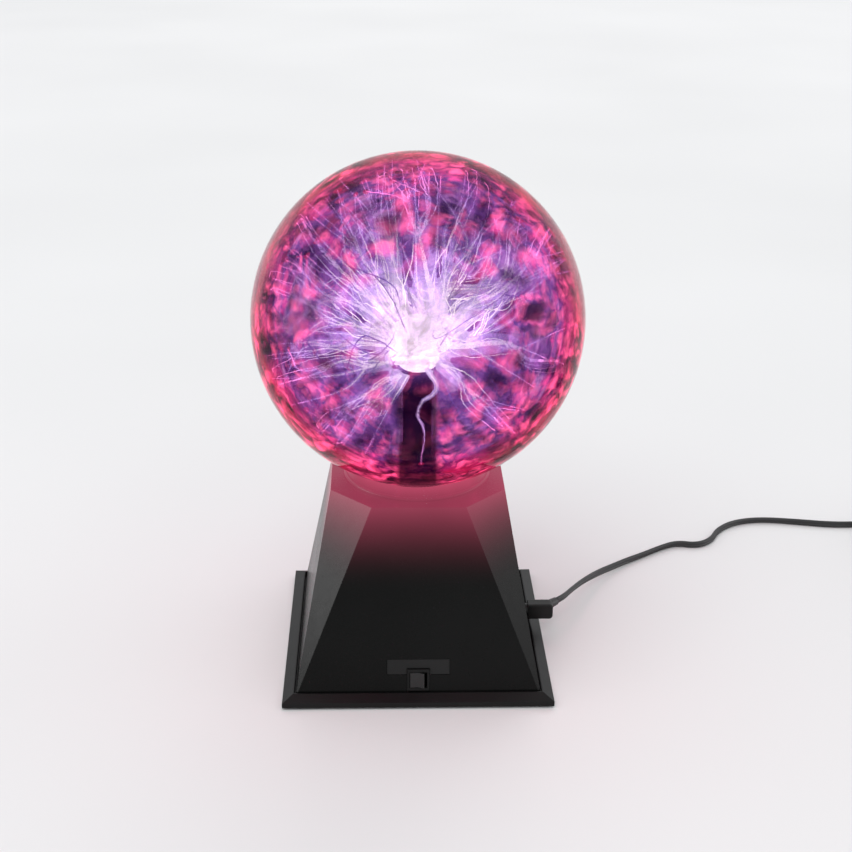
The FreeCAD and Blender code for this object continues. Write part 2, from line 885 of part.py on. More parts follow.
def switch_body():
    half_wide = d.switch_width / 2
    half_tall = d.switch_tall / 2
    bezel = box(
        "bezel_block",
        (-d.bezel_width / 2, -d.bezel_tall / 2, 0),
        (d.bezel_width / 2, d.bezel_tall / 2, d.bezel_thickness),
    )
    bezel = rounded("bezel", bezel, 0.5, lambda edge: edge.BoundBox.ZMin > 0.9)
    block = box("switch_block", (-half_wide, -half_tall, -d.switch_depth), (half_wide, half_tall, 0.5))
    cavity = box(
        "rocker_room",
        (-d.rocker_window, -d.rocker_long / 2 - 0.25, -d.pivot_depth - 6.5),
        (d.rocker_window, d.rocker_long / 2 + 0.25, 3),
    )
    holes = cylinder(
        "pivot_holes",
        d.pivot_radius + d.pivot_gap,
        d.rocker_long + 2.1,
        (0, -d.rocker_long / 2 - 1.05, -d.pivot_depth),
        ALONG_Y,
    )
    made = cut("switch", fuse("switch_blank", [bezel, block]), [cavity, holes])
    subpart("switch_body", on_front_face(made))


def switch_rocker():
    """The rocker, tilted so that its left half is pressed in."""
    half_long = d.rocker_long / 2
    paddle = padded("paddle", rocker_frame(), d.rocker_long, -half_long, "XZ_Plane")
    pin = 0.9
    pins = cylinder(
        "pins",
        d.pivot_radius,
        d.rocker_long + 2 * pin,
        (0, -half_long - pin, -d.pivot_depth),
        ALONG_Y,
    )
    made = fuse("rocker", [paddle, pins])
    tilt = Rotation(Vector(0, 1, 0), -ROCKER_TILT)
    pivot = Vector(0, 0, -d.pivot_depth.value)
    turn = Placement(pivot, tilt).multiply(Placement(-pivot, Rotation()))
    face = Placement(
        Vector(0, -housing_half_at(d.switch_height).value, d.switch_height.value),
        Rotation(Vector(1, 0, 0), 90 - face_tilt()),
    )
    made.Placement = face.multiply(turn)
    subpart("switch_rocker", made)


def switch_terminals():
    low = -d.switch_depth
    tabs = [
        box(f"terminal_{n}", (x - 0.4, -2.4, low - 7), (x + 0.4, 2.4, low))
        for n, x in enumerate((-2.6, 2.6))
    ]
    subpart("switch_terminals", on_front_face(group("terminal_set", tabs)))


# ---------------------------------------------------------------- electronics


def board_top():
    return d.board_bottom + d.board_thickness


def circuit_board():
    board = box(
        "board_blank",
        (d.board_left, -d.board_half, d.board_bottom),
        (d.board_right, d.board_half, board_top()),
    )
    holes = [
        cylinder(f"board_hole_{n}", d.screw_radius + 0.2, 4, (x, y, d.board_bottom - 1))
        for n, (x, y) in enumerate(board_spots())
    ]
    subpart("circuit_board", cut("board", board, holes))
    screws = [
        screw(f"board_screw_{n}", spot, board_top(), 7.0, -1)
        for n, spot in enumerate(board_spots())
    ]
    subpart("board_screws", group("board_screw_set", screws))


def transformer():
    """Flyback transformer: a ferrite loop with the two windings on its legs."""
    foot = board_top() + SADDLE_FLOOR
    x_left = -14.0
    x_right = 12.0
    leg = 5.0  # half of the ferrite's thickness
    core_tall = 44.0
    yoke = 9.0
    loop = box("core_block", (x_left - leg, -leg, foot), (x_right + leg, leg, foot + core_tall))
    window = box(
        "core_window",
        (x_left + leg, -leg - 1, foot + yoke),
        (x_right - leg, leg + 1, foot + core_tall - yoke),
    )
    subpart("transformer_core", cut("core", loop, [window]))
    coil_low = foot + WINDING_LIFT
    coil_tall = core_tall - 2 * WINDING_LIFT
    slot = leg + 0.1
    leg_holes = [
        box(
            f"leg_hole_{n}",
            (x - slot, -slot, coil_low - 1),
            (x + slot, slot, coil_low + coil_tall + 1),
        )
        for n, x in enumerate((x_left, x_right))
    ]
    flange = 1.6
    bobbin = [cylinder("primary_block", 9.0, coil_tall, (x_left, 0, coil_low))]
    for n in (0, 1):
        flange_low = coil_low + n * (coil_tall - flange)
        bobbin.append(cylinder(f"primary_flange_{n}", 10.6, flange, (x_left, 0, flange_low)))
    subpart("transformer_primary", cut("primary", fuse("bobbin", bobbin), leg_holes[:1]))
    secondary = cylinder("secondary_block", 13.8, coil_tall, (x_right, 0, coil_low))
    outlet = cylinder("outlet", 3.2, OUTLET_TALL, (x_right, 9.6, coil_low))
    winding = fuse("winding_blank", [secondary, outlet])
    subpart("transformer_secondary", cut("potted_winding", winding, leg_holes[1:]))
    rim = leg + 3
    saddle = box(
        "saddle_block", (x_left - rim, -rim, board_top()), (x_right + rim, rim, foot + 5)
    )
    seat = box("saddle_seat", (x_left - slot, -slot, foot), (x_right + slot, slot, foot + 6))
    subpart("transformer_saddle", cut("saddle", saddle, [seat]))


def high_voltage_lead():
    """From the top of the secondary winding up to the boot in the stem."""
    outlet_top = board_top().value + SADDLE_FLOOR + WINDING_LIFT + OUTLET_TALL
    foot = (d.neck_foot - d.flare_thickness).value - 4
    route = [
        (12.0, 9.6, outlet_top),
        (12.0, 9.6, outlet_top + 6),
        (9.6, 8.4, outlet_top + 15),
        (3.0, 2.8, outlet_top + 25),
        (0.0, 0.0, outlet_top + 34),
        (0.0, 0.0, foot),
    ]
    subpart("high_voltage_lead", tube("high_voltage_wire", route, d.lead_radius.value))


def heatsink():
    """Finned aluminium block, with the drive transistor screwed to its flat side."""
    low = board_top()
    face = 28.0  # the flat side
    near = -30.0
    middle = -19.0
    tall = 26.0
    fin_pitch = 4.08
    fin = 1.6
    back = box("sink_back", (face, near, low), (face + 3, -8, low + tall))
    fins = [
        box(
            f"fin_{n}",
            (face + 2.5, near + fin_pitch * n, low),
            (face + 13, near + fin_pitch * n + fin, low + tall),
        )
        for n in range(6)
    ]
    screw_axis = (middle, low + 17)
    hole = cylinder("sink_hole", 1.5, 6, (face - 2, *screw_axis), ALONG_X)
    subpart("heatsink", cut("sink", fuse("sink_blank", [back] + fins), [hole]))
    half = 5.0
    tab = box("transistor_tab", (face - 1.4, middle - half, low + 5), (face, middle + half, low + 20.5))
    block = box(
        "transistor_block",
        (face - 4.6, middle - half, low + 4),
        (face - 1, middle + half, low + 13),
    )
    legs = [
        box(f"leg_{n}", (face - 3, y, low), (face - 2.2, y + 0.8, low + 4.5))
        for n, y in enumerate((-22.2, -19.4, -16.6))
    ]
    tab_hole = cylinder("tab_hole", 1.5, 6, (face - 3, *screw_axis), ALONG_X)
    transistor = cut("transistor", fuse("transistor_blank", [tab, block] + legs), [tab_hole])
    subpart("drive_transistor", transistor)
    head = cylinder("fixing_head", 2.7, 1.6, (face - 3, *screw_axis), ALONG_X)
    shank = cylinder("fixing_shank", 1.4, 6, (face - 2, *screw_axis), ALONG_X)
    subpart("transistor_screw", fuse("fixing", [head, shank]))


def capacitors(low):
    cans = []
    for n, y in enumerate((-26.0, -13.5)):
        blank = cylinder(f"can_blank_{n}", 5.0, 14.0, (52, y, low))
        cans.append(rounded(f"can_{n}", blank, 0.8, lambda edge: len(edge.Vertexes) == 1))
    subpart("filter_capacitors", group("can_set", cans))
    film = box("film_block", (-28, 14, low), (-15, 20, low + 11))
    subpart("film_capacitor", rounded("film", film, 0.8, lambda edge: runs_along(edge, 2)))


def oscillator(low):
    left = -26.0
    near = -22.0
    far = -15.6
    pitch = 2.54
    chip = box("chip_block", (left, near, low + 0.6), (left + 10, far, low + 4))
    legs = []
    for side, y in enumerate((near - 0.5, far - 0.1)):
        for n in range(4):
            x = left + 1.1 + pitch * n
            legs.append(
                box(f"chip_leg_{side}_{n}", (x, y, low), (x + 0.6, y + 0.6, low + 2.2))
            )
    subpart("oscillator_chip", fuse("chip", [chip] + legs))


def resistor_row(low):
    """Five resistors lying across the board on bent wires."""
    y = 26.0
    wire_radius = 0.35
    axis = low + 1.6
    row = []
    for n in range(5):
        x = -10 + 9.0 * n
        pieces = [
            cylinder(f"resistor_body_{n}", 1.2, 6.4, (x, y - 3.2, axis), ALONG_Y),
            cylinder(f"resistor_wire_{n}", wire_radius, 10, (x, y - 5, axis), ALONG_Y),
        ]
        for side in (-1, 1):
            foot = (x, y + side * 4.6, low)
            pieces.append(cylinder(f"resistor_end_{n}_{side}", wire_radius, 1.9, foot))
        row.append(fuse(f"resistor_{n}", pieces))
    subpart("resistors", group("resistor_set", row))


def small_components():
    low = board_top()
    capacitors(low)
    oscillator(low)
    resistor_row(low)
    header = box("header_block", (6, -38, low), (16, -32, low + HEADER_TALL))
    subpart("wire_header", rounded("header", header, 0.6, lambda edge: runs_along(edge, 2)))


def switch_wires():
    """Two wires from the switch's terminals to the header on the board."""
    header_top = board_top().value + HEADER_TALL
    wires = []
    for n, side in enumerate((-1, 1)):
        x_tab = side * 3.8
        x_pin = 11.0 + side * 2.4
        route = [
            (x_tab, -57.0, 14.2),
            (x_tab, -52.5, 14.8),
            (x_tab + 1.4, -47.5, 18.4),
            (x_tab + 4.6, -42.5, 23.0),
            (x_pin - 0.8, -38.2, 25.4),
            (x_pin, -35.0, 23.4),
            (x_pin, -35.0, header_top),
        ]
        wires.append(tube(f"switch_wire_{n}", route, d.wire_radius.value))
    subpart("switch_wires", group("wire_set", wires))


def power_jack():
    """The socket stands on the board, with its nose in the housing's opening."""
    front = 69.5
    half = 4.7
    axis = (d.jack_offset, d.jack_height)
    case = box(
        "jack_case",
        (55.5, d.jack_offset - half, board_top()),
        (front, d.jack_offset + half, d.jack_height + half),
    )
    nose = cylinder("jack_nose", 4.5, 3.3, (front - 0.2, *axis), ALONG_X)
    floor = 59.0
    bore = cylinder("jack_bore", 3.1, 20, (floor, *axis), ALONG_X)
    subpart("dc_jack", cut("jack", fuse("jack_blank", [case, nose]), [bore]))
    subpart("dc_jack_pin", cylinder("jack_pin", 1.0, 9.4, (floor, *axis), ALONG_X))


# ---------------------------------------------------------------- plug, lead and adapter


def supply_plug():
    """The plug's block and round nose, its metal sleeve, and the boot on the lead."""
    axis = (d.jack_offset, d.jack_height)
    outer = d.plug_inner + d.plug_length
    half = d.plug_depth / 2
    block = box(
        "plug_block",
        (d.plug_inner, d.jack_offset - half, d.jack_height - d.plug_tall / 2),
        (outer, d.jack_offset + half, d.jack_height + d.plug_tall / 2),
    )
    end = outer.value - 0.1
    ended = rounded(
        "plug_end", block, 2.4, lambda edge: edge.BoundBox.XMin > end and runs_along(edge, 1)
    )
    sides = rounded(
        "plug_sides", ended, 1.0, lambda edge: edge.BoundBox.XMin < end and runs_along(edge, 0)
    )
    nose_start = d.plug_inner - d.plug_nose
    nose = cylinder("plug_nose", half, d.plug_nose + 0.2, (nose_start, *axis), ALONG_X)
    body = fuse("plug_body", [sides, nose])
    subpart("dc_plug_body", body)
    sleeve_start = nose_start - d.plug_sleeve
    sleeve = cylinder("sleeve_blank", d.plug_barrel, d.plug_sleeve, (sleeve_start, *axis), ALONG_X)
    bore = cylinder("sleeve_bore", 1.25, d.plug_sleeve - 0.9, (sleeve_start - 0.1, *axis), ALONG_X)
    subpart("dc_plug_barrel", cut("barrel", sleeve, [bore]))
    heading = BOOT_END - BOOT_START
    relief = doc.addObject("Part::Cone", "relief_cone")
    bind(relief, Radius1=3.5, Radius2=d.cord_width / 2 + 0.3, Height=heading.Length)
    relief.Placement = Placement(BOOT_START, Rotation(Vector(0, 0, 1), heading))
    subpart("plug_boot", cut("relief", relief, [body]))


def supply_lead():
    radius = d.cord_width.value / 2
    subpart("power_cord", tube("cord", CORD_ROUTE, radius))
    subpart("cord_tail", tube("tail", TAIL_ROUTE, radius))
    low = d.coil_radius - d.coil_half_width
    high = d.coil_radius + d.coil_half_width
    edge = 1.6
    ring = turned(
        "coil",
        [
            (low, 0.2 + edge),
            (low + edge, 0.2),
            (high - edge, 0.2),
            (high, 0.2 + edge),
            (high, d.coil_tall - edge),
            (high - edge, d.coil_tall),
            (low + edge, d.coil_tall),
            (low, d.coil_tall - edge),
        ],
    )
    ring.Placement = Placement(COIL_CENTRE, Rotation())
    subpart("cord_coil", ring)


def adapter_half(name, foot, top):
    """One moulded half of the adapter, with its four upright edges rounded."""
    half = d.adapter_width / 2
    block = box(
        name + "_block",
        (ADAPTER_CENTRE_X - half, ADAPTER_BACK - d.adapter_length, foot),
        (ADAPTER_CENTRE_X + half, ADAPTER_BACK, top),
    )
    return rounded(name + "_corners", block, 5.0, lambda edge: runs_along(edge, 2))


def mains_blades():
    """Two flat blades, half an inch apart, each with the hole near its tip."""
    low = d.adapter_thickness
    near = ADAPTER_BACK - 32.0
    wide = 6.3
    half_thick = 0.75
    blades = []
    for n, side in enumerate((-1, 1)):
        x = ADAPTER_CENTRE_X + side * 6.35
        blade = box(
            f"blade_{n}",
            (x - half_thick, near, low),
            (x + half_thick, near + wide, low + 17),
        )
        hole = cylinder(f"blade_hole_{n}", 1.6, 4, (x - 2, near + wide / 2, low + 12), ALONG_X)
        blades.append(cut(f"blade_cut_{n}", blade, [hole]))
    subpart("adapter_blades", group("blade_set", blades))


def wall_adapter():
    """The adapter lies on its face beside the coil, with its blades up."""
    joint = d.adapter_thickness - d.adapter_lid
    low = adapter_half("adapter_low", 0.0, joint)
    case = rounded("adapter_case", low, 2.0, lambda edge: edge.BoundBox.ZMax < 0.01)
    subpart("adapter_case", case)
    high = adapter_half("adapter_high", joint, d.adapter_thickness)
    top = d.adapter_thickness.value - 0.01
    lid = rounded("adapter_lid_edge", high, 1.5, lambda edge: edge.BoundBox.ZMin > top)
    subpart("adapter_lid", lid)
    mains_blades()
    _, boot_end, axis = TAIL_ROUTE[-1]
    gland = cone(
        "adapter_gland",
        3.9,
        d.cord_width / 2 + 0.3,
        boot_end - ADAPTER_BACK,
        (ADAPTER_CENTRE_X, ADAPTER_BACK, axis),
        ALONG_Y,
    )
    subpart("adapter_boot", gland)


def check_everything():
    for thing in doc.Objects:
        bad = [state for state in thing.State if state in ("Invalid", "Error")]
        if bad:
            raise RuntimeError(f"{thing.Name} ({thing.Label}) is {bad}")
    for made in subparts:
        shape = made.Shape
        if shape.isNull() or not shape.isValid() or not shape.Solids:
            raise RuntimeError(f"{made.Label} has no valid shape")
        print(f"{made.Label}: {len(shape.Solids)} solids, {shape.Volume / 1000:.3f} cm3")


def write_parts():
    os.makedirs("parts", exist_ok=True)
    for made in subparts:
        made.Shape.exportStep(f"parts/{made.Label}.step")


def main():
    fill_sheet()
    base_plate()
    rubber_feet()
    housing_shell()
    housing_screws()
    label_plate()
    collar()
    neck_cup()
    globe_glass()
    stem_glass()
    exhaust_tip()
    electrode()
    switch_body()
    switch_rocker()
    switch_terminals()
    circuit_board()
    transformer()
    high_voltage_lead()
    heatsink()
    small_components()
    switch_wires()
    power_jack()
    supply_plug()
    supply_lead()
    wall_adapter()
    doc.recompute()
    check_everything()
    write_parts()


main()
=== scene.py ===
"""Plasma ball: the looks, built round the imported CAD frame. Lengths are in metres."""

import json
import math
import random

import bmesh
import bpy
from mathutils import Matrix, Vector


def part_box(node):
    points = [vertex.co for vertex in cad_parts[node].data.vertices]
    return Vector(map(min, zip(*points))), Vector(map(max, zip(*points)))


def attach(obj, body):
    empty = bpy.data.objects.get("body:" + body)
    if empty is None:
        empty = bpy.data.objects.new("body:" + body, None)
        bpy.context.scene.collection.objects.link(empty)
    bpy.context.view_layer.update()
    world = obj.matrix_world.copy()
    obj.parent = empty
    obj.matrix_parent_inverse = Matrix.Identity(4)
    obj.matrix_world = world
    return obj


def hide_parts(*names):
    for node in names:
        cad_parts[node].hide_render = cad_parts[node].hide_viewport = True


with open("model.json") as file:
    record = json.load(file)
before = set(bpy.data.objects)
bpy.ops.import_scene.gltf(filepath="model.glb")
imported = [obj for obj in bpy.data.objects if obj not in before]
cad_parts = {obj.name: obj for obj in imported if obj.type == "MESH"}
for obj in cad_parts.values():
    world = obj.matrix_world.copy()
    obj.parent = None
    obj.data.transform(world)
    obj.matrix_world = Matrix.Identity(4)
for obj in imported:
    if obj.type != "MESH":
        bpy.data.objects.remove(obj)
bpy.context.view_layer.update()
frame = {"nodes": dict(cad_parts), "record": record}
NODES = frame["nodes"]
MM = 0.001
BODY = "base"
SKY = Vector((0, 0, 1))

# ---------------------------------------------------------------- camera

CAMERA_PLACE = Vector((-0.02325, -0.84581, 0.52179))
CAMERA_YAW, CAMERA_PITCH, CAMERA_ROLL = (math.radians(a) for a in (1.951, 23.48, 0.621))
CAMERA_LENS = 62.07
CAMERA_SEES = (0.01, 50)  # nearest and farthest


def camera_axes():
    """Right, up and forward of the camera."""
    forward = Vector(
        (
            math.sin(CAMERA_YAW) * math.cos(CAMERA_PITCH),
            math.cos(CAMERA_YAW) * math.cos(CAMERA_PITCH),
            -math.sin(CAMERA_PITCH),
        )
    )
    level = Vector((math.cos(CAMERA_YAW), -math.sin(CAMERA_YAW), 0))
    upright = level.cross(forward)
    turn, lean = math.cos(CAMERA_ROLL), math.sin(CAMERA_ROLL)
    return turn * level + lean * upright, turn * upright - lean * level, forward


RIGHT, UP, FORWARD = camera_axes()


def add_object(name, data):
    thing = bpy.data.objects.new(name, data)
    bpy.context.scene.collection.objects.link(thing)
    return thing


def make_camera():
    data = bpy.data.cameras.new("camera")
    data.lens = CAMERA_LENS
    data.clip_start, data.clip_end = CAMERA_SEES
    camera = add_object("camera", data)
    camera.matrix_world = Matrix.Translation(CAMERA_PLACE) @ Matrix(
        (RIGHT, UP, -FORWARD)
    ).transposed().to_4x4()
    bpy.context.scene.camera = camera


make_camera()

# ---------------------------------------------------------------- mesh helpers


def new_piece(name, mesh, at=(0, 0, 0)):
    """An object of that mesh, riding on the base."""
    piece = add_object(name, mesh)
    piece.location = at
    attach(piece, BODY)
    return piece


def mesh_of(name, vertices, faces, smooth=True):
    mesh = bpy.data.meshes.new(name)
    mesh.from_pydata([tuple(v) for v in vertices], [], faces)
    mesh.validate()
    bm = bmesh.new()
    bm.from_mesh(mesh)
    bmesh.ops.recalc_face_normals(bm, faces=bm.faces)
    bm.to_mesh(mesh)
    bm.free()
    for polygon in mesh.polygons:
        polygon.use_smooth = smooth
    return mesh


def swept(rings, closed=False):
    """Vertices and faces of a skin over rings of points, with flat ends unless closed."""
    sides, count = len(rings[0]), len(rings)
    vertices = [v for ring in rings for v in ring]
    faces = []
    for i in range(count if closed else count - 1):
        here, there = i * sides, (i + 1) % count * sides
        for k in range(sides):
            after = (k + 1) % sides
            faces.append((here + k, here + after, there + after, there + k))
    if not closed:
        faces += [tuple(range(sides))[::-1], tuple(range((count - 1) * sides, count * sides))]
    return vertices, faces


def joined(parts):
    """One list of vertices and faces from several."""
    vertices, faces = [], []
    for some, their_faces in parts:
        start = len(vertices)
        vertices += some
        faces += [tuple(start + k for k in f) for f in their_faces]
    return vertices, faces


def tube(points, radii, sides):
    """A round tube along points, its radius changing along it."""
    rings, side = [], None
    for i, p in enumerate(points):
        along = (points[min(i + 1, len(points) - 1)] - points[max(i - 1, 0)]).normalized()
        if side is None:
            side = along.orthogonal().normalized()
        side = (side - side.dot(along) * along).normalized()
        other = along.cross(side)
        turns = (2 * math.pi * k / sides for k in range(sides))
        rings.append([p + radii[i] * (math.cos(a) * side + math.sin(a) * other) for a in turns])
    return swept(rings)


# ---------------------------------------------------------------- the lead

CORD_ROUTE = [
    (0.0951, 0.0156, 0.0180),
    (0.1008, 0.0207, 0.0180),
    (0.1074, 0.0334, 0.0158),
    (0.1162, 0.0490, 0.0129),
    (0.1252, 0.0631, 0.0097),
    (0.1348, 0.0762, 0.0067),
    (0.1450, 0.0874, 0.0043),
    (0.1575, 0.0990, 0.0030),
    (0.1715, 0.1090, 0.0026),
    (0.1855, 0.1192, 0.0026),
    (0.1990, 0.1268, 0.0026),
    (0.2140, 0.1226, 0.0026),
    (0.2265, 0.1306, 0.0026),
    (0.2345, 0.1470, 0.0026),
    (0.2500, 0.1600, 0.0026),
    (0.2720, 0.1650, 0.0026),
    (0.2990, 0.1605, 0.0026),
    (0.3270, 0.1550, 0.0026),
    (0.3550, 0.1564, 0.0026),
]
TAIL_ROUTE = [
    (0.4095, 0.1205, 0.0170),
    (0.4112, 0.1110, 0.0158),
    (0.4110, 0.1040, 0.0150),
    (0.4110, 0.0980, 0.0150),
]
COIL_CENTRE = Vector((0.382, 0.130))
COIL_TURNS, POINTS_PER_TURN = 6.25, 16
INNER_TURN, OUTER_TURN, MIDDLE_TURN = 0.0243, 0.0291, 0.0267
TURN_LEVELS = (0.0026, 0.0074, 0.0122, 0.0164)
TURNS_LIE = [
    (OUTER_TURN, TURN_LEVELS[0]),
    (INNER_TURN, TURN_LEVELS[0]),
    (INNER_TURN, TURN_LEVELS[1]),
    (OUTER_TURN, TURN_LEVELS[1]),
    (INNER_TURN, TURN_LEVELS[2]),
    (OUTER_TURN, TURN_LEVELS[2]),
    (MIDDLE_TURN, TURN_LEVELS[3]),
]
STEADY_SHARE = 0.65  # of each turn, before it shifts to where the next one lies


def coil_points():
    """The turns, clockwise from the far side of the ring, from the floor up."""
    points = []
    for i in range(int(COIL_TURNS * POINTS_PER_TURN) + 1):
        turn, share = divmod(i / POINTS_PER_TURN, 1)
        radius, level = TURNS_LIE[int(turn)]
        if share > STEADY_SHARE:
            shift = (share - STEADY_SHARE) / (1 - STEADY_SHARE)
            shift = shift * shift * (3 - 2 * shift)
            after = TURNS_LIE[int(turn) + 1]
            radius += shift * (after[0] - radius)
            level += shift * (after[1] - level)
        angle = math.pi / 2 - 2 * math.pi * i / POINTS_PER_TURN
        at = COIL_CENTRE + radius * Vector((math.cos(angle), math.sin(angle)))
        points.append((at.x, at.y, level))
    return points


def smooth_line(route):
    """Points along the smooth NURBS line of a route."""
    data = bpy.data.curves.new("route", "CURVE")
    data.dimensions = "3D"
    spline = data.splines.new("NURBS")
    spline.points.add(len(route) - 1)
    for point, place in zip(spline.points, route):
        point.co = (*place, 1)
    spline.order_u = 3
    spline.use_endpoint_u = True
    spline.resolution_u = 8
    holder = bpy.data.objects.new("route", data)
    mesh = bpy.data.meshes.new_from_object(holder)
    line = [v.co.copy() for v in mesh.vertices]
    bpy.data.objects.remove(holder)
    bpy.data.meshes.remove(mesh)
    return line


STRAND_RADIUS, STRAND_OFFSET, STRAND_STEPS = 0.0013, 0.0011, 10
LEAN, LEAN_LENGTH = math.radians(16), 0.11  # the lead stands on its edge and sways


def twin_section():
    """The outline of the twin lead, as (across its width, across its thickness)."""
    reach = math.acos(-STRAND_OFFSET / STRAND_RADIUS)
    arc = [reach * (2 * k / STRAND_STEPS - 1) for k in range(STRAND_STEPS + 1)]
    half = [
        (STRAND_OFFSET + STRAND_RADIUS * math.cos(a), STRAND_RADIUS * math.sin(a))
        for a in arc
    ]
    return half[:-1] + [(-x, -y) for x, y in half[:-1]]


def make_cord():
    line = smooth_line(CORD_ROUTE + coil_points() + TAIL_ROUTE)
    section, rings, gone = twin_section(), [], 0
    for i, p in enumerate(line):
        along = (line[min(i + 1, len(line) - 1)] - line[max(i - 1, 0)]).normalized()
        upright = (SKY - along.z * along).normalized()
        sideways = along.cross(upright)
        if i:
            gone += (p - line[i - 1]).length
        lean = LEAN * math.sin(2 * math.pi * gone / LEAN_LENGTH)
        wide = math.cos(lean) * upright + math.sin(lean) * sideways
        thick = along.cross(wide)
        rings.append([p + x * wide + y * thick for x, y in section])
    piece = new_piece("twin_lead", mesh_of("twin_lead", *swept(rings)))
    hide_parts("power_cord", "cord_coil", "cord_tail")
    return piece, line, gone


TIE_ANGLE = math.radians(205)
TIE_HALF_WIDE, TIE_HALF_HIGH, TIE_CORNER = 0.0057, 0.0074, 0.0026  # inside the band
TIE_THICK, TIE_HALF_BROAD, TIE_CLEAR = 0.0009, 0.0035, 0.0001
TIE_CORNER_STEPS = 5
# Round the band's section, as (share of its thickness, share of its half breadth)
TIE_SECTION = ((0, -1), (0.7, -1), (1, -0.8), (1, 0.8), (0.7, 1), (0, 1))


def make_tie():
    """The strap that holds the coil together, a band round all its turns at one place."""
    outward = Vector((math.cos(TIE_ANGLE), math.sin(TIE_ANGLE), 0))
    tangent = Vector((-outward.y, outward.x, 0))
    height = TIE_HALF_HIGH + TIE_THICK + TIE_CLEAR
    middle = Vector((*COIL_CENTRE, height)) + MIDDLE_TURN * outward
    rings = []
    for k in range(4):
        cx = (TIE_HALF_WIDE - TIE_CORNER) * (1 if k in (0, 3) else -1)
        cz = (TIE_HALF_HIGH - TIE_CORNER) * (1 if k in (0, 1) else -1)
        for step in range(TIE_CORNER_STEPS + 1):
            a = math.pi / 2 * (k + step / TIE_CORNER_STEPS)
            ring = []
            for out, across in TIE_SECTION:
                r = TIE_CORNER + out * TIE_THICK
                ring.append(
                    middle
                    + (cx + r * math.cos(a)) * outward
                    + (cz + r * math.sin(a)) * SKY
                    + across * TIE_HALF_BROAD * tangent
                )
            rings.append(ring)
    mesh = mesh_of("coil_tie", *swept(rings, closed=True))
    return new_piece("coil_tie", mesh)


cord, cord_line, cord_length = make_cord()
tie = make_tie()

# ---------------------------------------------------------------- materials


class Nodes:
    """A material's nodes, added with short calls."""

    def __init__(self, name):
        self.material = bpy.data.materials.new(name)
        self.material.use_nodes = True
        self.tree = self.material.node_tree
        self.tree.nodes.clear()
        self.output = self.tree.nodes.new("ShaderNodeOutputMaterial")
        self.shader = self.tree.nodes.new("ShaderNodeBsdfPrincipled")
        self.tree.links.new(self.shader.outputs[0], self.output.inputs["Surface"])
        self.place = self.tree.nodes.new("ShaderNodeTexCoord").outputs["Object"]

    def add(self, kind, inputs=(), **settings):
        node = self.tree.nodes.new("ShaderNode" + kind)
        for key, value in settings.items():
            setattr(node, key, value)
        for key, value in dict(inputs).items():
            self.put(node.inputs[key], value)
        return node

    def put(self, socket, value):
        if isinstance(value, bpy.types.NodeSocket):
            self.tree.links.new(value, socket)
        else:
            socket.default_value = value

    def set(self, **inputs):
        """Sets the shader's sockets, with _ for a space in their names."""
        for key, value in inputs.items():
            self.put(self.shader.inputs[key.replace("_", " ")], value)

    def noise(self, scale, detail=4, place=None, rough=0.5):
        node = self.add(
            "TexNoise",
            {"Vector": place or self.place, "Scale": scale, "Detail": detail, "Roughness": rough},
        )
        return node.outputs["Fac"]

    def cells(self, scale, place):
        """The distance from the nearest cell's middle."""
        return self.add("TexVoronoi", {"Vector": place, "Scale": scale}).outputs["Distance"]

    def ramp(self, value, *stops):
        """Colours by value: stops are (position, colour)."""
        node = self.add("ValToRGB", {"Fac": value})
        elements = node.color_ramp.elements
        while len(elements) < len(stops):
            elements.new(0.5)
        for element, (position, colour) in zip(elements, stops):
            element.position = position
            element.color = (*colour, 1)
        return node.outputs["Color"]

    def scaled(self, value, low, high, start=0.0, end=1.0):
        """low where value is start, high where it is end, and held beyond them."""
        node = self.add(
            "MapRange",
            {"Value": value, "From Min": start, "From Max": end, "To Min": low, "To Max": high},
        )
        return node.outputs["Result"]

    def maths(self, operation, a, b=0.0):
        node = self.add("Math", operation=operation)
        self.put(node.inputs[0], a)
        self.put(node.inputs[1], b)
        return node.outputs[0]

    def mix(self, share, a, b):
        node = self.add("Mix", data_type="RGBA")
        self.put(node.inputs["Factor"], share)
        for socket, value in ((node.inputs[6], a), (node.inputs[7], b)):
            self.put(socket, value if isinstance(value, bpy.types.NodeSocket) else (*value, 1))
        return node.outputs[2]

    def bump(self, height, strength, distance, normal=None):
        inputs = {"Height": height, "Strength": strength, "Distance": distance}
        if normal is not None:
            inputs["Normal"] = normal
        return self.add("Bump", inputs).outputs[0]

    def vector(self, operation, a, b=None, output=0):
        """A Vector Math node's output. b is its second vector, or its scale."""
        inputs = {0: a} if b is None else {0: a, "Scale" if operation == "SCALE" else 1: b}
        return self.add("VectorMath", inputs, operation=operation).outputs[output]


def grey(level):
    return (level, level, level)


# Painted glow, pink emission that stands in for the globe's light on the top of the base:
# from which height up, to which height it is at its full, and how strongly
PAINTED_GLOW_REACH = {"housing_plastic": (0.070, 0.1265, 1.0), "collar_plastic": (0.100, 0.1300, 1.5)}
PAINTED_GLOW_TINT, PAINTED_GLOW_FALL = (0.39, 0.054, 0.106), 2.8
BROAD_SCALE, WORN_SCALE = 9, 140  # of the noises that vary every moulded surface


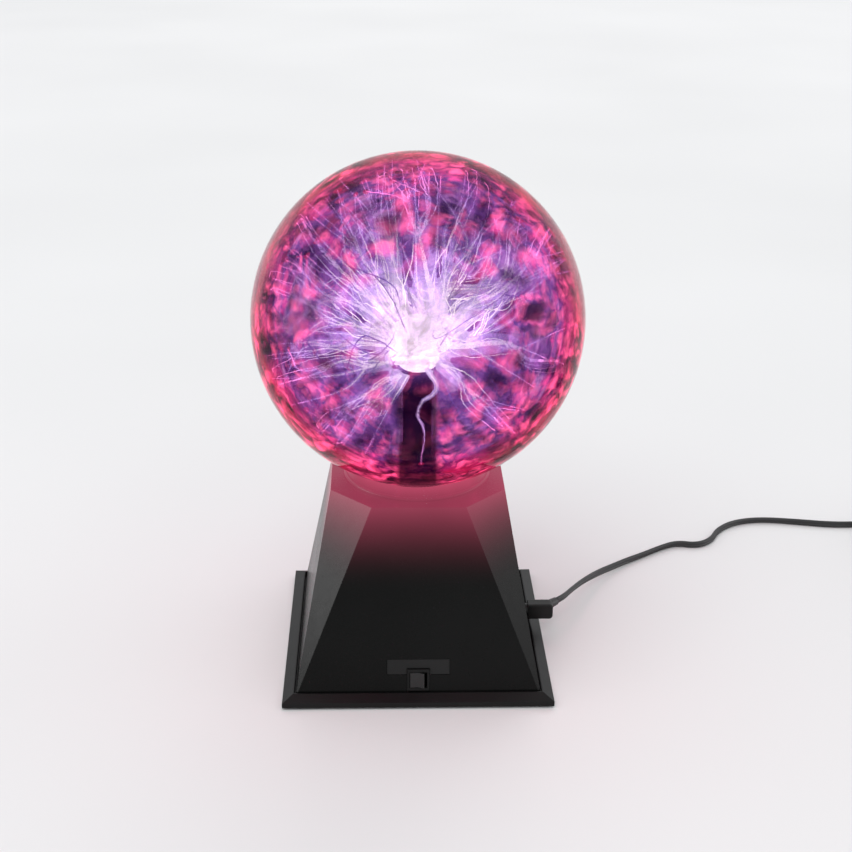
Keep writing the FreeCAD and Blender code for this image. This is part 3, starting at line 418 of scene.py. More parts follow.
def finish(name, colour, other, rough, grain, relief, metal=0.0, edge=None, shine=0.5):
    """A moulded, cast or drawn surface: two colours that vary over it, a range of roughness, a
    grain of that size in metres, and a relief of that depth in metres. edge is the radius that
    light sees on its sharp edges, and shine its specular level."""
    n = Nodes(name)
    broad = n.noise(BROAD_SCALE, 3)
    fine = n.noise(1 / grain, 5)
    worn = n.noise(WORN_SCALE, 6, rough=0.7)
    mottle = n.maths("ADD", broad, n.scaled(fine, -0.15, 0.15))
    wear = n.maths("MULTIPLY", n.maths("ADD", broad, worn), 0.5)
    n.set(
        Base_Color=n.ramp(mottle, (0.3, colour), (0.7, other)),
        Metallic=metal,
        Roughness=n.scaled(wear, *rough, 0.3, 0.7),
        Specular_IOR_Level=shine,
    )
    # Painted glow: pink emission, stronger towards the top, stands in for the globe's light here
    if name in PAINTED_GLOW_REACH:
        height = n.add("SeparateXYZ", {0: n.place}).outputs["Z"]
        low, high, gain = PAINTED_GLOW_REACH[name]
        near = n.maths("POWER", n.scaled(height, 0, 1, low, high), PAINTED_GLOW_FALL)
        uneven = n.scaled(broad, 0.8 * gain, 1.1 * gain, 0.3, 0.7)
        n.set(
            Emission_Color=(*PAINTED_GLOW_TINT, 1),
            Emission_Strength=n.maths("MULTIPLY", near, uneven),
        )
    soft = None
    if edge:
        soft = n.add("Bevel", {"Radius": edge}, samples=4).outputs[0]
    n.set(Normal=n.bump(fine, 0.6, relief, soft))
    return n.material


BLACK, GREY_BLACK = (0.0030, 0.0032, 0.0030), (0.0060, 0.0062, 0.0060)
# For each slot of the record: two colours, roughness, grain and relief
FINISHES = {
    "base_plastic": (BLACK, GREY_BLACK, (0.26, 0.40), 0.0011, 2e-5),
    "housing_plastic": (BLACK, GREY_BLACK, (0.20, 0.34), 0.0016, 8e-6),
    "collar_plastic": (BLACK, GREY_BLACK, (0.24, 0.38), 0.0012, 8e-6),
    "foot_rubber": (grey(0.020), (0.035, 0.034, 0.033), (0.75, 0.92), 0.0006, 6e-5),
    "gasket_rubber": ((0.018, 0.018, 0.019), grey(0.030), (0.6, 0.8), 0.0006, 5e-5),
    "pad_rubber": ((0.030, 0.030, 0.032), grey(0.055), (0.8, 0.95), 0.0008, 8e-5),
    "inner_plastic": ((0.030, 0.030, 0.032), (0.050, 0.050, 0.052), (0.45, 0.6), 0.0009, 3e-5),
    "screw_steel": ((0.42, 0.42, 0.43), (0.58, 0.57, 0.55), (0.25, 0.42), 0.0004, 1e-5),
    "label_plastic": (grey(0.007), grey(0.012), (0.42, 0.55), 0.0006, 1e-5),
    "sleeve_black": (grey(0.003), (0.006, 0.005, 0.006), (0.5, 0.7), 0.0008, 2e-5),
    "lead_sheath": ((0.45, 0.03, 0.03), (0.55, 0.06, 0.05), (0.4, 0.55), 0.0010, 2e-5),
    "switch_plastic": (grey(0.003), grey(0.006), (0.35, 0.48), 0.0005, 1e-5),
    "rocker_plastic": (grey(0.004), grey(0.008), (0.14, 0.26), 0.0006, 6e-6),
    "terminal_brass": ((0.72, 0.52, 0.22), (0.58, 0.40, 0.17), (0.25, 0.45), 0.0004, 1e-5),
    "board_laminate": ((0.030, 0.16, 0.06), (0.05, 0.22, 0.09), (0.3, 0.45), 0.0007, 2e-5),
    "core_ferrite": ((0.045, 0.045, 0.048), grey(0.08), (0.5, 0.7), 0.0005, 6e-5),
    "winding_tape": ((0.60, 0.45, 0.10), (0.70, 0.56, 0.18), (0.3, 0.45), 0.0006, 1e-5),
    "potting_resin": ((0.015, 0.016, 0.020), (0.03, 0.03, 0.035), (0.2, 0.35), 0.0012, 3e-5),
    "sink_aluminium": ((0.62, 0.63, 0.64), (0.74, 0.75, 0.76), (0.3, 0.48), 0.0005, 1e-5),
    "chip_plastic": ((0.020, 0.020, 0.021), grey(0.035), (0.5, 0.65), 0.0003, 2e-5),
    "can_sleeve": ((0.02, 0.03, 0.10), (0.03, 0.05, 0.14), (0.28, 0.4), 0.0006, 1e-5),
    "film_red": ((0.40, 0.06, 0.03), (0.50, 0.10, 0.05), (0.3, 0.45), 0.0006, 2e-5),
    "resistor_tan": ((0.60, 0.46, 0.30), (0.70, 0.55, 0.38), (0.4, 0.55), 0.0005, 2e-5),
    "header_nylon": ((0.75, 0.72, 0.64), (0.82, 0.80, 0.74), (0.45, 0.6), 0.0006, 1e-5),
    "wire_sheath": ((0.40, 0.03, 0.03), (0.50, 0.05, 0.04), (0.4, 0.55), 0.0006, 1e-5),
    "plug_plastic": (BLACK, GREY_BLACK, (0.28, 0.42), 0.0006, 2e-5),
    "plug_metal": ((0.60, 0.60, 0.58), (0.72, 0.71, 0.68), (0.2, 0.35), 0.0004, 1e-5),
    "cord_rubber": ((0.014, 0.014, 0.015), (0.030, 0.030, 0.031), (0.36, 0.52), 0.0006, 3e-5),
    "adapter_plastic": ((0.018, 0.018, 0.019), (0.030, 0.030, 0.031), (0.38, 0.52), 0.0008, 4e-5),
    "blade_metal": ((0.62, 0.60, 0.55), (0.74, 0.72, 0.68), (0.2, 0.35), 0.0005, 1e-5),
}
FINISH_EXTRAS = {
    "base_plastic": {"edge": 0.0007, "shine": 0.22},
    "housing_plastic": {"edge": 0.0007, "shine": 0.10},
    "collar_plastic": {"edge": 0.0005, "shine": 0.24},
    "label_plastic": {"shine": 0.25},
    "sleeve_black": {"shine": 0.1},
    "switch_plastic": {"edge": 0.0004, "shine": 0.2},
    "rocker_plastic": {"edge": 0.0004},
    "plug_plastic": {"edge": 0.0006, "shine": 0.3},
    "adapter_plastic": {"edge": 0.0006},
    "screw_steel": {"metal": 1.0},
    "terminal_brass": {"metal": 1.0},
    "sink_aluminium": {"metal": 1.0},
    "plug_metal": {"metal": 1.0},
    "blade_metal": {"metal": 1.0},
}

GLOBE_LOW, GLOBE_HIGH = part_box("globe_glass")
GLOBE_RADIUS = (GLOBE_HIGH.x - GLOBE_LOW.x) / 2
GLOBE_CENTRE = Vector((0, 0, GLOBE_HIGH.z - GLOBE_RADIUS))
BULB_LOW, BULB_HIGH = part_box("electrode_wool")
BULB_CENTRE = (BULB_LOW + BULB_HIGH) / 2
LEVEL = Vector((-FORWARD.x, -FORWARD.y, 0)).normalized()  # level, towards the camera


GLOW_SHEEN, GLASS_TINT = (1.0, 0.07, 0.18), (1.0, 0.16, 0.34)
GLASS_IOR = 1.12
GLOBE_ABSORBS = 110.0


def clear_glass(name, tint, smears, absorbed=0.0):
    """Glass with faint smears on it. absorbed is how strongly a metre of it takes the green and
    blue out of light, which reddens the globe's rim, where light runs along its wall."""
    n = Nodes(name)
    smear = n.noise(22, 6, rough=0.65)
    n.set(
        Base_Color=n.mix(n.noise(6, 2), tint, (1, 1, 1)),
        Transmission_Weight=1.0,
        Roughness=n.scaled(smear, 0.0, smears, 0.5, 0.8),
        IOR=GLASS_IOR,
        Specular_Tint=(*GLOW_SHEEN, 1),
        Normal=n.bump(n.noise(16, 2), 0.15, 0.0004),
    )
    if absorbed:
        depth = n.add("VolumeAbsorption", {"Color": (*GLASS_TINT, 1), "Density": absorbed})
        n.put(n.output.inputs["Volume"], depth.outputs[0])
    return n.material


def glow(name, build):
    """A surface that only gives light and hides part of what is behind it. build(n) gives its
    colour, its strength and how solid it is."""
    n = Nodes(name)
    colour, strength, solid = build(n)
    n.set(
        Base_Color=(0, 0, 0, 1),
        Roughness=1.0,
        Specular_IOR_Level=0.0,
        Emission_Color=colour,
        Emission_Strength=strength,
        Alpha=solid,
    )
    return n.material


def direction(n):
    """The direction from the piece's own origin."""
    return n.vector("NORMALIZE", n.place)


def share_along(n, axis):
    """How far that direction leans along an axis, from -1 to 1."""
    return n.vector("DOT_PRODUCT", direction(n), tuple(axis), "Value")


# Where the electrode shows through the shells: the way that it faces, across and up it, how high
# its middle is, half its width and half its height, as shares of the globe's radius. The ways
# are worked out once and fixed in the object, so they don't follow another view's camera.
WINDOWS = [
    (-FORWARD, RIGHT, UP, -0.06, 0.52, 0.34),
    (RIGHT, LEVEL, SKY, 0.32, 0.36, 0.50),
    (-RIGHT, LEVEL, SKY, 0.32, 0.36, 0.50),
    (-LEVEL, RIGHT, SKY, 0.32, 0.52, 0.50),
]
WINDOW_FALL = (0.25, 1.3)  # where a window starts to fade, and where it is gone
STRIP_TOP, STRIP_SIDE = (-0.47, -0.36), (0.100, 0.135)


def window(n, facing, across, rise, middle, wide, tall):
    """1 round one direction from the globe's centre, falling softly to 0."""
    x = n.maths("DIVIDE", share_along(n, across), wide)
    y = n.maths("DIVIDE", n.maths("SUBTRACT", share_along(n, rise), middle), tall)
    spread = n.maths("ADD", n.maths("MULTIPLY", x, x), n.maths("MULTIPLY", y, y))
    ahead = n.maths("GREATER_THAN", share_along(n, facing), 0.0)
    return n.maths("MULTIPLY", ahead, n.scaled(spread, 1, 0, *WINDOW_FALL))


def calm(n):
    """1 where the electrode shows through: on the script's own camera's side, and on the three
    others."""
    clear = window(n, *WINDOWS[0])
    for place in WINDOWS[1:]:
        clear = n.maths("MAXIMUM", clear, window(n, *place))
    return clear


def stem_strip(n):
    """1 on each side of the stem, which shows dark."""
    below = n.scaled(share_along(n, UP), 1, 0, *STRIP_TOP)
    before, beside = (
        n.scaled(n.maths("ABSOLUTE", share_along(n, way)), 1, 0, *STRIP_SIDE)
        for way in (RIGHT, LEVEL)
    )
    return n.maths("MULTIPLY", below, n.maths("MAXIMUM", before, beside))


WARPS = ((3.5, 2, 0.22), (12, 3, 0.17))  # scale, detail and amount, broad and fine


def outward(n):
    """The direction from the piece's own origin, warped."""
    way = direction(n)
    for scale, detail, amount in WARPS:
        noise = n.add("TexNoise", {"Vector": way, "Scale": scale, "Detail": detail})
        shift = n.vector("SUBTRACT", noise.outputs["Color"], grey(0.5))
        way = n.vector("ADD", way, n.vector("SCALE", shift, amount))
    return way


SIDE_SHARE, SIDE_EDGE = 0.3, (0.40, 0.62)


def middle(n):
    """1 where the front and back of the globe are, and SIDE_SHARE round its sides."""
    return n.scaled(n.maths("ABSOLUTE", share_along(n, FORWARD)), SIDE_SHARE, 1, *SIDE_EDGE)


SPOT_CELLS, SPOT_EDGE = 8.5, (0.13, 0.58)
HOLE_CELLS, HOLE_EDGE, HOLE_DARK = 6.0, (0.17, 0.50), 0.85
HOLES_ASIDE = (7.3, 2.1, 4.7)  # so that the holes' cells aren't the spots'
CALM_CLEARS, STRIP_CLEARS = 0.92, 0.9


def blotches(dark, mild, hot, inner, inner_hot, strength, thin, thick):
    """Blotches round the globe, in radial columns that the shells share: dark, mild and hot
    round its sides, and inner and inner_hot at its front and back. They are strength bright, and
    thin to thick solid."""

    def build(n):
        way = outward(n)
        aside = n.vector("ADD", way, HOLES_ASIDE)
        clear = n.maths("SUBTRACT", 1.0, n.maths("MULTIPLY", calm(n), CALM_CLEARS))
        strip = n.maths("MULTIPLY", stem_strip(n), STRIP_CLEARS)
        spots = n.maths("MULTIPLY", n.scaled(n.cells(SPOT_CELLS, way), 1, 0, *SPOT_EDGE), clear)
        holes = n.maths("MULTIPLY", n.scaled(n.cells(HOLE_CELLS, aside), 1, 0, *HOLE_EDGE), clear)
        drift = n.scaled(n.noise(3.4, 4, way), 0, 1, 0.43, 0.64)
        face = middle(n)
        faced = (SIDE_SHARE, 1.0)
        colour = n.mix(n.scaled(face, 0.12, 1.0, *faced), n.mix(drift, dark, mild), inner)
        colour = n.mix(spots, colour, n.mix(face, hot, inner_hot))
        colour = n.mix(n.maths("MULTIPLY", holes, HOLE_DARK), colour, NIGHT)
        colour = n.mix(strip, colour, NIGHT)
        light = n.scaled(n.noise(5.5, 4, way), 0.35 * strength, 1.5 * strength, 0.3, 0.7)
        solid = n.scaled(n.maths("MAXIMUM", holes, n.maths("MULTIPLY", spots, 0.75)), thin, thick)
        light = n.maths("MULTIPLY", light, n.scaled(face, 1.5, 1.22, *faced))
        solid = n.maths("MULTIPLY", solid, n.scaled(face, 1.32, 0.85, *faced))
        return colour, light, n.maths("MULTIPLY", solid, n.scaled(clear, 0.4, 1.0))

    return build


def haze(n):
    """A violet haze, in fine cells and drifts."""
    way = outward(n)
    drift = n.noise(4.2, 5, way, 0.62)
    web = n.scaled(n.cells(13, way), 0, 1, 0.08, 0.5)
    colour = n.ramp(drift, (0.30, NIGHT), (0.42, INDIGO), (0.56, VIOLET), (0.72, LAVENDER))
    light = n.maths("MULTIPLY", n.scaled(web, 0.7, 1.25), n.scaled(drift, 0.8, 1.7, 0.3, 0.7))
    strip = stem_strip(n)
    light = n.maths("MULTIPLY", light, n.scaled(strip, 2.6, 0.1))
    solid = n.scaled(drift, 0.72, 0.50, 0.35, 0.65)
    return colour, light, n.maths("MULTIPLY", solid, n.scaled(strip, 1, 0.25))


def make_shell(name, radius, pattern):
    """A see-through ball of glowing gas."""
    bm = bmesh.new()
    bmesh.ops.create_icosphere(bm, subdivisions=6, radius=radius)
    for face in bm.faces:
        face.smooth = True
    mesh = bpy.data.meshes.new(name)
    bm.to_mesh(mesh)
    bm.free()
    new_piece(name, mesh, GLOBE_CENTRE)
    mesh.materials.append(glow(name, pattern))


def electrode_look(n):
    colour = n.ramp(n.noise(90, 4), (0.35, (0.93, 0.90, 1.0)), (0.6, (1.0, 1.0, 1.0)))
    return colour, n.scaled(n.noise(60, 4), 5, 9), 1.0


def paint_frame():
    """A material for every slot of the record, on its CAD nodes and on the lead's pieces."""
    made = {
        slot: finish(slot, *how, **FINISH_EXTRAS.get(slot, {})) for slot, how in FINISHES.items()
    }
    made["globe_glass"] = clear_glass("globe_glass", (0.97, 0.95, 0.98), 0.05, GLOBE_ABSORBS)
    made["stem_glass"] = clear_glass("stem_glass", (0.62, 0.55, 0.66), 0.03)
    made["electrode_glow"] = glow("electrode_glow", electrode_look)
    for part in frame["record"]["subparts"]:
        mesh = NODES[part["node"]].data
        mesh.materials.clear()
        mesh.materials.append(made[part["material_slot"]])
    for piece in (cord, tie):
        piece.data.materials.append(made["cord_rubber"])


paint_frame()

# ---------------------------------------------------------------- the plasma

RED, CRIMSON, PINK = (0.05, 0.0, 0.008), (0.40, 0.003, 0.030), (0.92, 0.035, 0.14)
WINE, MAGENTA, ROSE = (0.03, 0.001, 0.05), (0.30, 0.006, 0.12), (1.0, 0.08, 0.34)
INDIGO, VIOLET, LAVENDER = (0.022, 0.010, 0.075), (0.17, 0.072, 0.29), (0.52, 0.30, 0.60)
DUSK, LILAC = (0.060, 0.018, 0.115), (0.95, 0.13, 0.34)
NIGHT = (0.003, 0.0, 0.006)
SKIN, OUTER, INNER = 0.1012, 0.0962, 0.0885  # the shells' radii
make_shell("glow_skin", SKIN, blotches(RED, CRIMSON, PINK, DUSK, LILAC, 1.25, 0.58, 0.82))
make_shell("glow_outer", OUTER, blotches(WINE, MAGENTA, ROSE, DUSK, ROSE, 1.5, 0.40, 0.82))
make_shell("glow_haze", INNER, haze)

FORK = (1, 45, 47)  # where the first streamer ends and the next two leave it
# Streamers: width, and points as (right, up, towards the viewer) from the globe's centre, in mm
STREAMERS = [
    (6.4, [(8, -3, 6), (10, 4, 18), (7, 17, 30), (3, 36, 42), FORK]),
    (2.2, [FORK, (-4, 54, 52), (-5, 63, 60), (-7, 72, 62)]),
    (2.2, [FORK, (5, 55, 50), (5, 66, 52), (2, 80, 54)]),
    (0.9, [(15, -1, 6), (16, 24, 30), (26, 48, 40), (34, 69, 42), (34, 84, 44)]),
    (2.8, [(21, -8, 4), (30, 6, 14), (47, 14, 30), (66, 31, 44), (74, 46, 44)]),
    (5.5, [(16, -16, 8), (30, -17, 20), (52, -16, 36), (64, -26, 46), (80, -27, 48)]),
    (2.6, [(14, -27, 8), (27, -40, 24), (37, -52, 38), (48, -64, 54)]),
    (
        1.3,
        [
            (5, -30, 8),
            (11, -39, 18),
            (10, -45, 22),
            (3, -50, 28),
            (0, -58, 34),
            (4, -68, 40),
            (2, -84, 44),
        ],
    ),
    (4.2, [(-14, -4, 4), (-26, 9, 16), (-38, 20, 28), (-57, 39, 44), (-67, 55, 44)]),
    (1.8, [(-10, 2, 4), (-12, 14, 20), (-12, 47, 40), (-15, 80, 52)]),
    (2.6, [(-18, -26, 6), (-30, -29, 16), (-46, -27, 30), (-61, -35, 46), (-80, -40, 38)]),
    (1.2, [(-11, -33, 6), (-28, -44, 22), (-45, -56, 36), (-58, -68, 38)]),
    (1.1, [(-10, -34, 6), (-24, -52, 24), (-42, -74, 44)]),
    (1.1, [(-6, -34, 8), (-16, -52, 28), (-24, -68, 44), (-30, -80, 46)]),
    (1.4, [(-17, -12, 4), (-34, -6, 20), (-58, 4, 40), (-84, 14, 46)]),
    (3.0, [(-16, -8, 6), (-28, 2, 22), (-40, 8, 36), (-54, 12, 48), (-70, 28, 52)]),
    (2.0, [(-12, 0, 6), (-22, 18, 20), (-32, 34, 36), (-46, 58, 42)]),
    (1.3, [(-8, 3, 8), (-18, 22, 26), (-22, 44, 40), (-28, 66, 48)]),
    (1.3, [(8, 4, 2), (22, 22, -18), (34, 50, -38), (38, 66, -50)]),
    (1.2, [(18, -14, -6), (40, 8, -20), (62, 20, -36), (84, 34, -36)]),
]
BRANCHES = 3  # finer lines that leave each streamer but those that go alone
STRANDS = 3  # loose lines that run along the same streamers
THREADS = 48
THREAD_FEET = 6  # one thread in this many ends in a spot
SKIN_RADIUS = 0.0975  # where streamers meet the glass
BEFORE_STEM = -0.8  # a streamer that points down further than this goes alone
FAR_STREAMERS = 11  # on the sides that the camera doesn't see well
NEAREST = -0.72  # threads lean at most this far towards the viewer, where they hide the core
LOWEST, FAR_LOWEST = -0.82, -0.6  # how far down random lines go
CORE_SHARE = 0.38  # a core's radius over its streamer's width
THREAD_ROOT = 0.0165  # how far from the electrode's centre a thread starts


def seen(right, up, front):
    """A point from mm to the right, up and towards the viewer of the globe's centre."""
    return (right * RIGHT + up * UP - front * FORWARD) * MM


def flowing(points, steps):
    """A smooth line through points, with that many steps between two of them."""
    ends = [2 * points[0] - points[1], *points, 2 * points[-1] - points[-2]]
    line = []
    for a, b, c, d in zip(ends, ends[1:], ends[2:], ends[3:]):
        for k in range(steps):
            t = k / steps
            line.append(
                0.5
                * (
                    2 * b
                    + t * (c - a)
                    + t * t * (2 * a - 5 * b + 4 * c - d)
                    + t * t * t * (3 * b - a - 3 * c + d)
                )
            )
    return [*line, points[-1]]


def shaken(line, chance, amount):
    """The line with small kinks along it, and its ends kept."""
    last = len(line) - 1
    for i in range(1, last):
        sway = min(i, last - i, 4) / 4 * amount
        line[i] = line[i] + Vector([chance.uniform(-sway, sway) for _ in range(3)])
    return line


def within(line):
    """The line kept inside the glass."""
    return [p if p.length < SKIN_RADIUS else p.normalized() * SKIN_RADIUS for p in line]


def random_vector(chance, spread):
    return Vector([chance.gauss(0, spread) for _ in range(3)])


def random_way(chance, lowest=LOWEST):
    """A direction that isn't down at the stem or before it, or in front of the electrode."""
    while True:
        way = random_vector(chance, 1).normalized()
        before_stem = way.dot(UP) < -0.35 and abs(way.dot(RIGHT)) < 0.22
        if way.z > lowest and not before_stem and way.dot(FORWARD) > NEAREST:
            return way


def wandering(line, chance, spread):
    """A line that leaves another smoothly, and meets the glass where the other does."""
    sways = [random_vector(chance, spread) for _ in range(3)]
    last = len(line) - 1
    made = []
    for i, point in enumerate(line):
        t = i / last
        shift = 1.5 * t * sways[0]
        for k, sway in enumerate(sways):
            shift = shift + sway * math.sin((k + 1) * math.pi * t) / (k + 1)
        moved = point + shift
        kept = point.length / SKIN_RADIUS
        made.append(moved.normalized() * (moved.length + (point.length - moved.length) * kept))
    return made


def tapering(start, end, count, power=1.0):
    return [start + (end - start) * (i / (count - 1)) ** power for i in range(count)]


def far_streamers(start):
    """Streamers on the far sides, as widths and points."""
    chance = random.Random(5)
    made = []
    while len(made) < FAR_STREAMERS:
        way = random_way(chance, FAR_LOWEST)
        if way.dot(FORWARD) > 0.05:
            points = [start + 0.015 * way]
            for share in (0.35, 0.65, 0.9):
                points.append(start.lerp(way * SKIN_RADIUS, share) + random_vector(chance, 0.007))
            made.append((chance.uniform(1.2, 2.8), points))
    return made


def thin_tube(line, radius, end_share):
    """A six-sided tube that tapers to that share of its radius."""
    return tube(line, tapering(radius, end_share * radius, len(line)), 6)


def add_strand(made, line, chance):
    """A loose strand beside a streamer."""
    strand = within(shaken(wandering(line[:-3], chance, 0.0036), chance, 0.0002))
    made["cores"].append(thin_tube(strand, chance.uniform(0.00025, 0.00055), 0.35))


def add_branch(made, line, radius, chance):
    """A finer line that leaves a streamer and ends at the glass near it."""
    fork = chance.randint(len(line) // 8, len(line) // 2)
    way = (line[-1].normalized() + random_vector(chance, 0.17)).normalized()
    along = line[fork] + 0.4 * (line[-1] - line[fork]) + random_vector(chance, 0.004)
    branch = within(shaken(flowing([line[fork], along, way * SKIN_RADIUS], 12), chance, 0.0002))
    thin = min(radius, 0.0009) * chance.uniform(0.40, 0.80)
    made["cores"].append(thin_tube(branch, thin, 0.3))
    made["halos"].append(tube(branch, tapering(0.0022, 0.0012, len(branch)), 8))
    made["feet"].append(way)


def add_streamer(made, width, places, chance):
    """A streamer with its halo, and its strands and branches unless it goes alone."""
    line = shaken(flowing(places, 9), chance, 0.0003)
    end = line[-1].normalized()
    if places[-1] != seen(*FORK):
        foot = end * SKIN_RADIUS
        line += flowing([line[-1], 0.5 * (line[-1] + foot), foot], 3)[1:]
        made["feet"].append(end)
    line = within(line)
    radius = width * MM * CORE_SHARE
    made["cores"].append(tube(line, tapering(radius, 0.25 * radius, len(line), 0.8), 8))
    if end.dot(UP) < BEFORE_STEM:
        made["halos"].append(tube(line, tapering(0.0021, 0.0012, len(line)), 12))
        return
    wide = tapering(0.0028 + 2.6 * radius, 0.0018 + radius, len(line), 0.5)
    made["halos"].append(tube(line, wide, 12))
    for _ in range(STRANDS):
        add_strand(made, line, chance)
    for _ in range(BRANCHES):
        add_branch(made, line, radius, chance)


def add_thread(made, start, chance, footed):
    """A thin line from the electrode to the glass, which ends in a spot if footed."""
    way = random_way(chance)
    end = way * SKIN_RADIUS
    root = start + THREAD_ROOT * (way + 0.6 * random_way(chance)).normalized()
    bend = random_vector(chance, 0.016)
    points = [root, root.lerp(end, 0.35) + bend, root.lerp(end, 0.7) + 0.7 * bend, end]
    line = within(shaken(flowing(points, 10), chance, 0.0004))
    made["threads"].append(thin_tube(line, chance.uniform(0.00022, 0.00060), 0.5))
    if footed:
        made["feet"].append(way)


def make_streamers():
    """Tubes by kind: cores, their halos, thin threads, and the ways to their feet."""
    chance = random.Random(41)
    made = {"cores": [], "halos": [], "threads": [], "feet": []}
    start = BULB_CENTRE - GLOBE_CENTRE
    streamers = [(width, [seen(*p) for p in places]) for width, places in STREAMERS]
    for width, places in streamers + far_streamers(start):
        add_streamer(made, width, places, chance)
    for number in range(THREADS):
        add_thread(made, start, chance, number % THREAD_FEET == 0)
    return made


def blob(centre, size, foot=1.0):
    """A closed ball of that size along each axis of the view, as vertices and faces. foot is how
    far down it goes, as a share of its size, before it is flat."""
    bm = bmesh.new()
    bmesh.ops.create_icosphere(bm, subdivisions=3, radius=1)
    across, rise, back = size
    vertices = [
        centre + v.co.x * across * RIGHT + max(v.co.y, -foot) * rise * UP + v.co.z * back * FORWARD
        for v in bm.verts
    ]
    faces = [tuple(v.index for v in f.verts) for f in bm.faces]
    bm.free()
    return vertices, faces


def melted(name, parts, voxel):
    """One smooth skin round overlapping parts."""
    piece = add_object(name, mesh_of(name, *joined(parts)))
    remesh = piece.modifiers.new("remesh", "REMESH")
    remesh.mode, remesh.voxel_size = "VOXEL", voxel
    smooth = piece.modifiers.new("smooth", "SMOOTH")
    smooth.iterations = 6
    shaped = piece.evaluated_get(bpy.context.evaluated_depsgraph_get())
    skin = bpy.data.meshes.new_from_object(shaped)
    bpy.data.objects.remove(piece)
    for polygon in skin.polygons:
        polygon.use_smooth = True
    return skin


def by_reach(n, *stops):
    """Colours by how far from the globe's centre, as shares of its radius."""
    away = n.add("VectorMath", {0: n.place}, operation="LENGTH").outputs["Value"]
    return n.ramp(n.maths("DIVIDE", away, GLOBE_RADIUS), *stops)


def core_look(n):
    colour = by_reach(
        n,
        (0.30, (1, 1, 1)),
        (0.60, (0.88, 0.84, 1.0)),
        (0.82, (0.55, 0.42, 0.95)),
        (0.96, (0.8, 0.20, 0.5)),
    )
    return colour, n.scaled(n.noise(120, 3), 2.4, 7.0), 1.0


def halo_look(n):
    colour = by_reach(
        n,
        (0.2, (0.90, 0.84, 1.0)),
        (0.5, (0.50, 0.42, 0.95)),
        (0.90, (0.50, 0.14, 0.60)),
    )
    solid = by_reach(n, (0.22, grey(0.62)), (0.50, grey(0.42)), (0.92, grey(0.12)))
    strength = n.scaled(n.noise(60, 3), 2.0, 4.8)
    uneven = n.scaled(n.noise(55, 4), 0.6, 1.4, 0.35, 0.65)
    return colour, strength, n.maths("MULTIPLY", solid, uneven)


def thread_look(n):
    colour = by_reach(
        n,
        (0.2, (0.80, 0.74, 1.0)),
        (0.5, (0.34, 0.27, 0.9)),
        (0.75, (0.26, 0.12, 0.6)),
        (0.95, (0.6, 0.05, 0.25)),
    )
    return colour, n.scaled(n.noise(80, 3), 0.5, 2.8), 1.0


def foot_look(n):
    return (
        n.ramp(n.noise(70, 3), (0.35, (1.0, 0.03, 0.16)), (0.65, (1.0, 0.15, 0.42))),
        n.scaled(n.noise(90, 3), 0.8, 1.6),
        n.scaled(n.noise(160, 3), 0.10, 0.55),
    )


FOOT_RADIUS, FOOT_SIDES = 0.0972, 14  # how far out the spots lie, and their corners
# A spot's section, as (height over its middle, share of its size)
FOOT_SECTION = ((-0.0010, 0.25), (-0.0006, 0.75), (0, 1), (0.0004, 0.7), (0.0005, 0.2))


def make_feet(ways):
    """The spots of light where streamers meet the glass: thin, uneven lenses."""
    chance, parts = random.Random(7), []
    for way in ways:
        side = way.orthogonal().normalized()
        other = way.cross(side)
        size, phase = chance.uniform(0.0012, 0.0032), chance.uniform(0, 6)
        rings = []
        for level, share in FOOT_SECTION:
            ring = []
            for k in range(FOOT_SIDES):
                a = 2 * math.pi * k / FOOT_SIDES
                uneven = 1 + 0.22 * math.sin(2 * a + phase) + 0.12 * math.sin(5 * a - phase)
                out = size * share * uneven * (math.cos(a) * side + math.sin(a) * other)
                ring.append(way * (FOOT_RADIUS + level) + out)
            rings.append(ring)
        parts.append(swept(rings))
    return parts


def make_plasma():
    made = make_streamers()
    heart = BULB_CENTRE - GLOBE_CENTRE
    made["cores"].append(blob(heart, (0.0192, 0.0185, 0.0185), 0.72))
    made["halos"] += [
        blob(heart + seen(0, 3, 0), (0.0215, 0.0195, 0.0205), 0.85),
        blob(heart + seen(38, -3, 18), (0.020, 0.0045, 0.006)),
        blob(heart + seen(-22, 8, 4), (0.013, 0.008, 0.009)),
        blob(heart + seen(22, 2, 6), (0.013, 0.007, 0.009)),
    ]
    for name, mesh, look in (
        ("streamer_cores", mesh_of("streamer_cores", *joined(made["cores"])), core_look),
        ("streamer_halos", melted("streamer_halos", made["halos"], 0.0013), halo_look),
        ("streamer_threads", mesh_of("streamer_threads", *joined(made["threads"])), thread_look),
        ("streamer_feet", mesh_of("streamer_feet", *joined(make_feet(made["feet"]))), foot_look),
    ):
        new_piece(name, mesh, GLOBE_CENTRE)
        mesh.materials.append(glow(name, look))


make_plasma()

# ---------------------------------------------------------------- the stage

FLOOR_RADIUS = 60.0
FLOOR_SIDES = 64


def make_floor():
    n = Nodes("floor")
    n.set(
        Base_Color=n.ramp(n.noise(1.5, 2), (0.3, (0.70, 0.70, 0.70)), (0.7, (0.74, 0.74, 0.74))),
        Roughness=n.scaled(n.noise(8, 3), 0.75, 0.9),
        Specular_IOR_Level=0.0,
    )
    turns = [2 * math.pi * k / FLOOR_SIDES for k in range(FLOOR_SIDES)]
    rim = [(FLOOR_RADIUS * math.cos(a), FLOOR_RADIUS * math.sin(a), 0) for a in turns]
    mesh = mesh_of("floor", rim, [tuple(range(FLOOR_SIDES))], False)
    mesh.materials.append(n.material)
    add_object("floor", mesh)


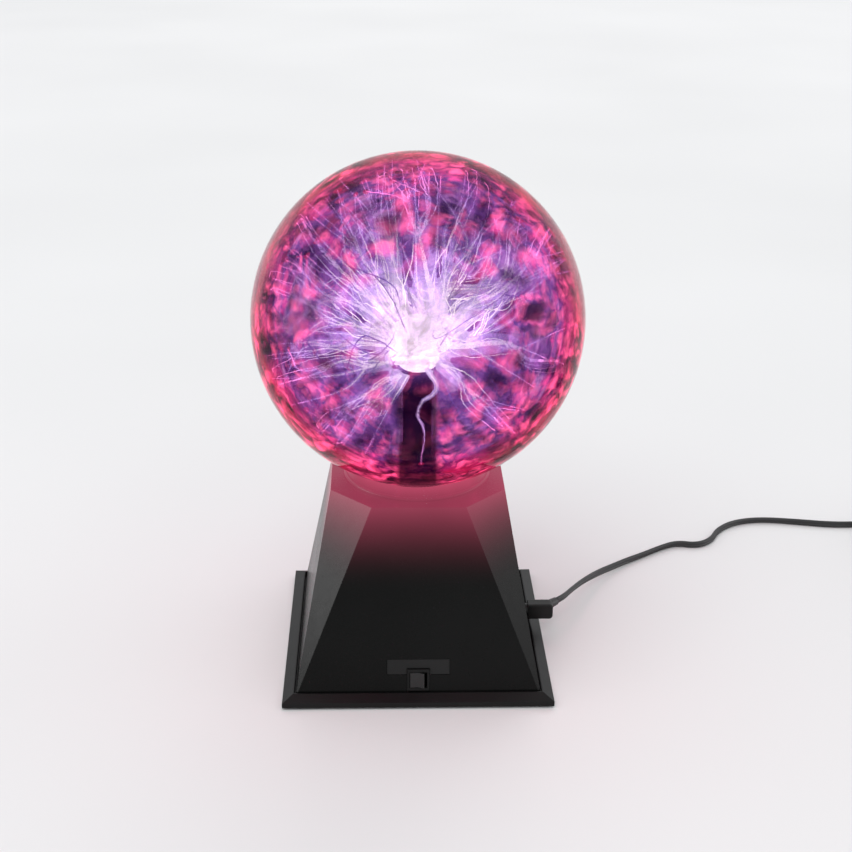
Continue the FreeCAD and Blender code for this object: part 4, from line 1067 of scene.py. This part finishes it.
LIT_POINT = Vector((0, 0, 0.12))
SPILL_COLOUR, SPILL_SIZE = (1.0, 0.06, 0.20), 0.02
SPILL_OUT, SPILL_UP, SPILL_POWER = 0.056, 0.146, 0.05
WORLD_COLOUR = (0.97, 0.98, 1.0, 1)
WORLD_STRENGTH = {"From Min": 0.0, "From Max": 0.6, "To Min": 0.80, "To Max": 0.94}  # by height


def make_light(name, place, size, power, mirrored):
    """A square lamp. A mirrored one shows only in what reflects it, and another only lights."""
    data = bpy.data.lights.new(name, "AREA")
    data.shape, data.size, data.energy = "SQUARE", size, power
    light = add_object(name, data)
    light.location = place
    light.visible_glossy = mirrored
    light.visible_diffuse = not mirrored
    light.visible_camera = light.visible_transmission = False
    light.rotation_mode = "QUATERNION"
    light.rotation_quaternion = (LIT_POINT - Vector(place)).to_track_quat("-Z", "Y")


def make_spill(side, front):
    """A little of the globe's own light on the base under it."""
    data = bpy.data.lights.new("spill", "POINT")
    data.energy, data.color, data.shadow_soft_size = SPILL_POWER, SPILL_COLOUR, SPILL_SIZE
    light = add_object("spill", data)
    light.location = (side * SPILL_OUT, front * SPILL_OUT, SPILL_UP)
    light.visible_camera = light.visible_glossy = light.visible_transmission = False


def make_world():
    """A pale studio, brighter overhead."""
    world = bpy.data.worlds.new("studio")
    world.use_nodes = True
    nodes, links = world.node_tree.nodes, world.node_tree.links
    height = nodes.new("ShaderNodeSeparateXYZ")
    links.new(nodes.new("ShaderNodeTexCoord").outputs["Generated"], height.inputs[0])
    strength = nodes.new("ShaderNodeMapRange")
    links.new(height.outputs["Z"], strength.inputs["Value"])
    for key, value in WORLD_STRENGTH.items():
        strength.inputs[key].default_value = value
    background = nodes["Background"]
    background.inputs["Color"].default_value = WORLD_COLOUR
    links.new(strength.outputs["Result"], background.inputs["Strength"])
    bpy.context.scene.world = world


bpy.context.scene.view_settings.view_transform = "Standard"
make_floor()
make_world()
make_light("key", (-1.5, -2.7, 5.5), 4.2, 110, False)
make_light("left", (-1.3, -0.15, 0.42), 0.8, 14, True)
make_light("right", (1.3, -0.10, 0.36), 0.8, 4.0, True)
make_light("back", (1.0, 4.8, 4.4), 3.8, 80, False)
for corner in ((-1, -1), (1, -1), (1, 1), (-1, 1)):
    make_spill(*corner)
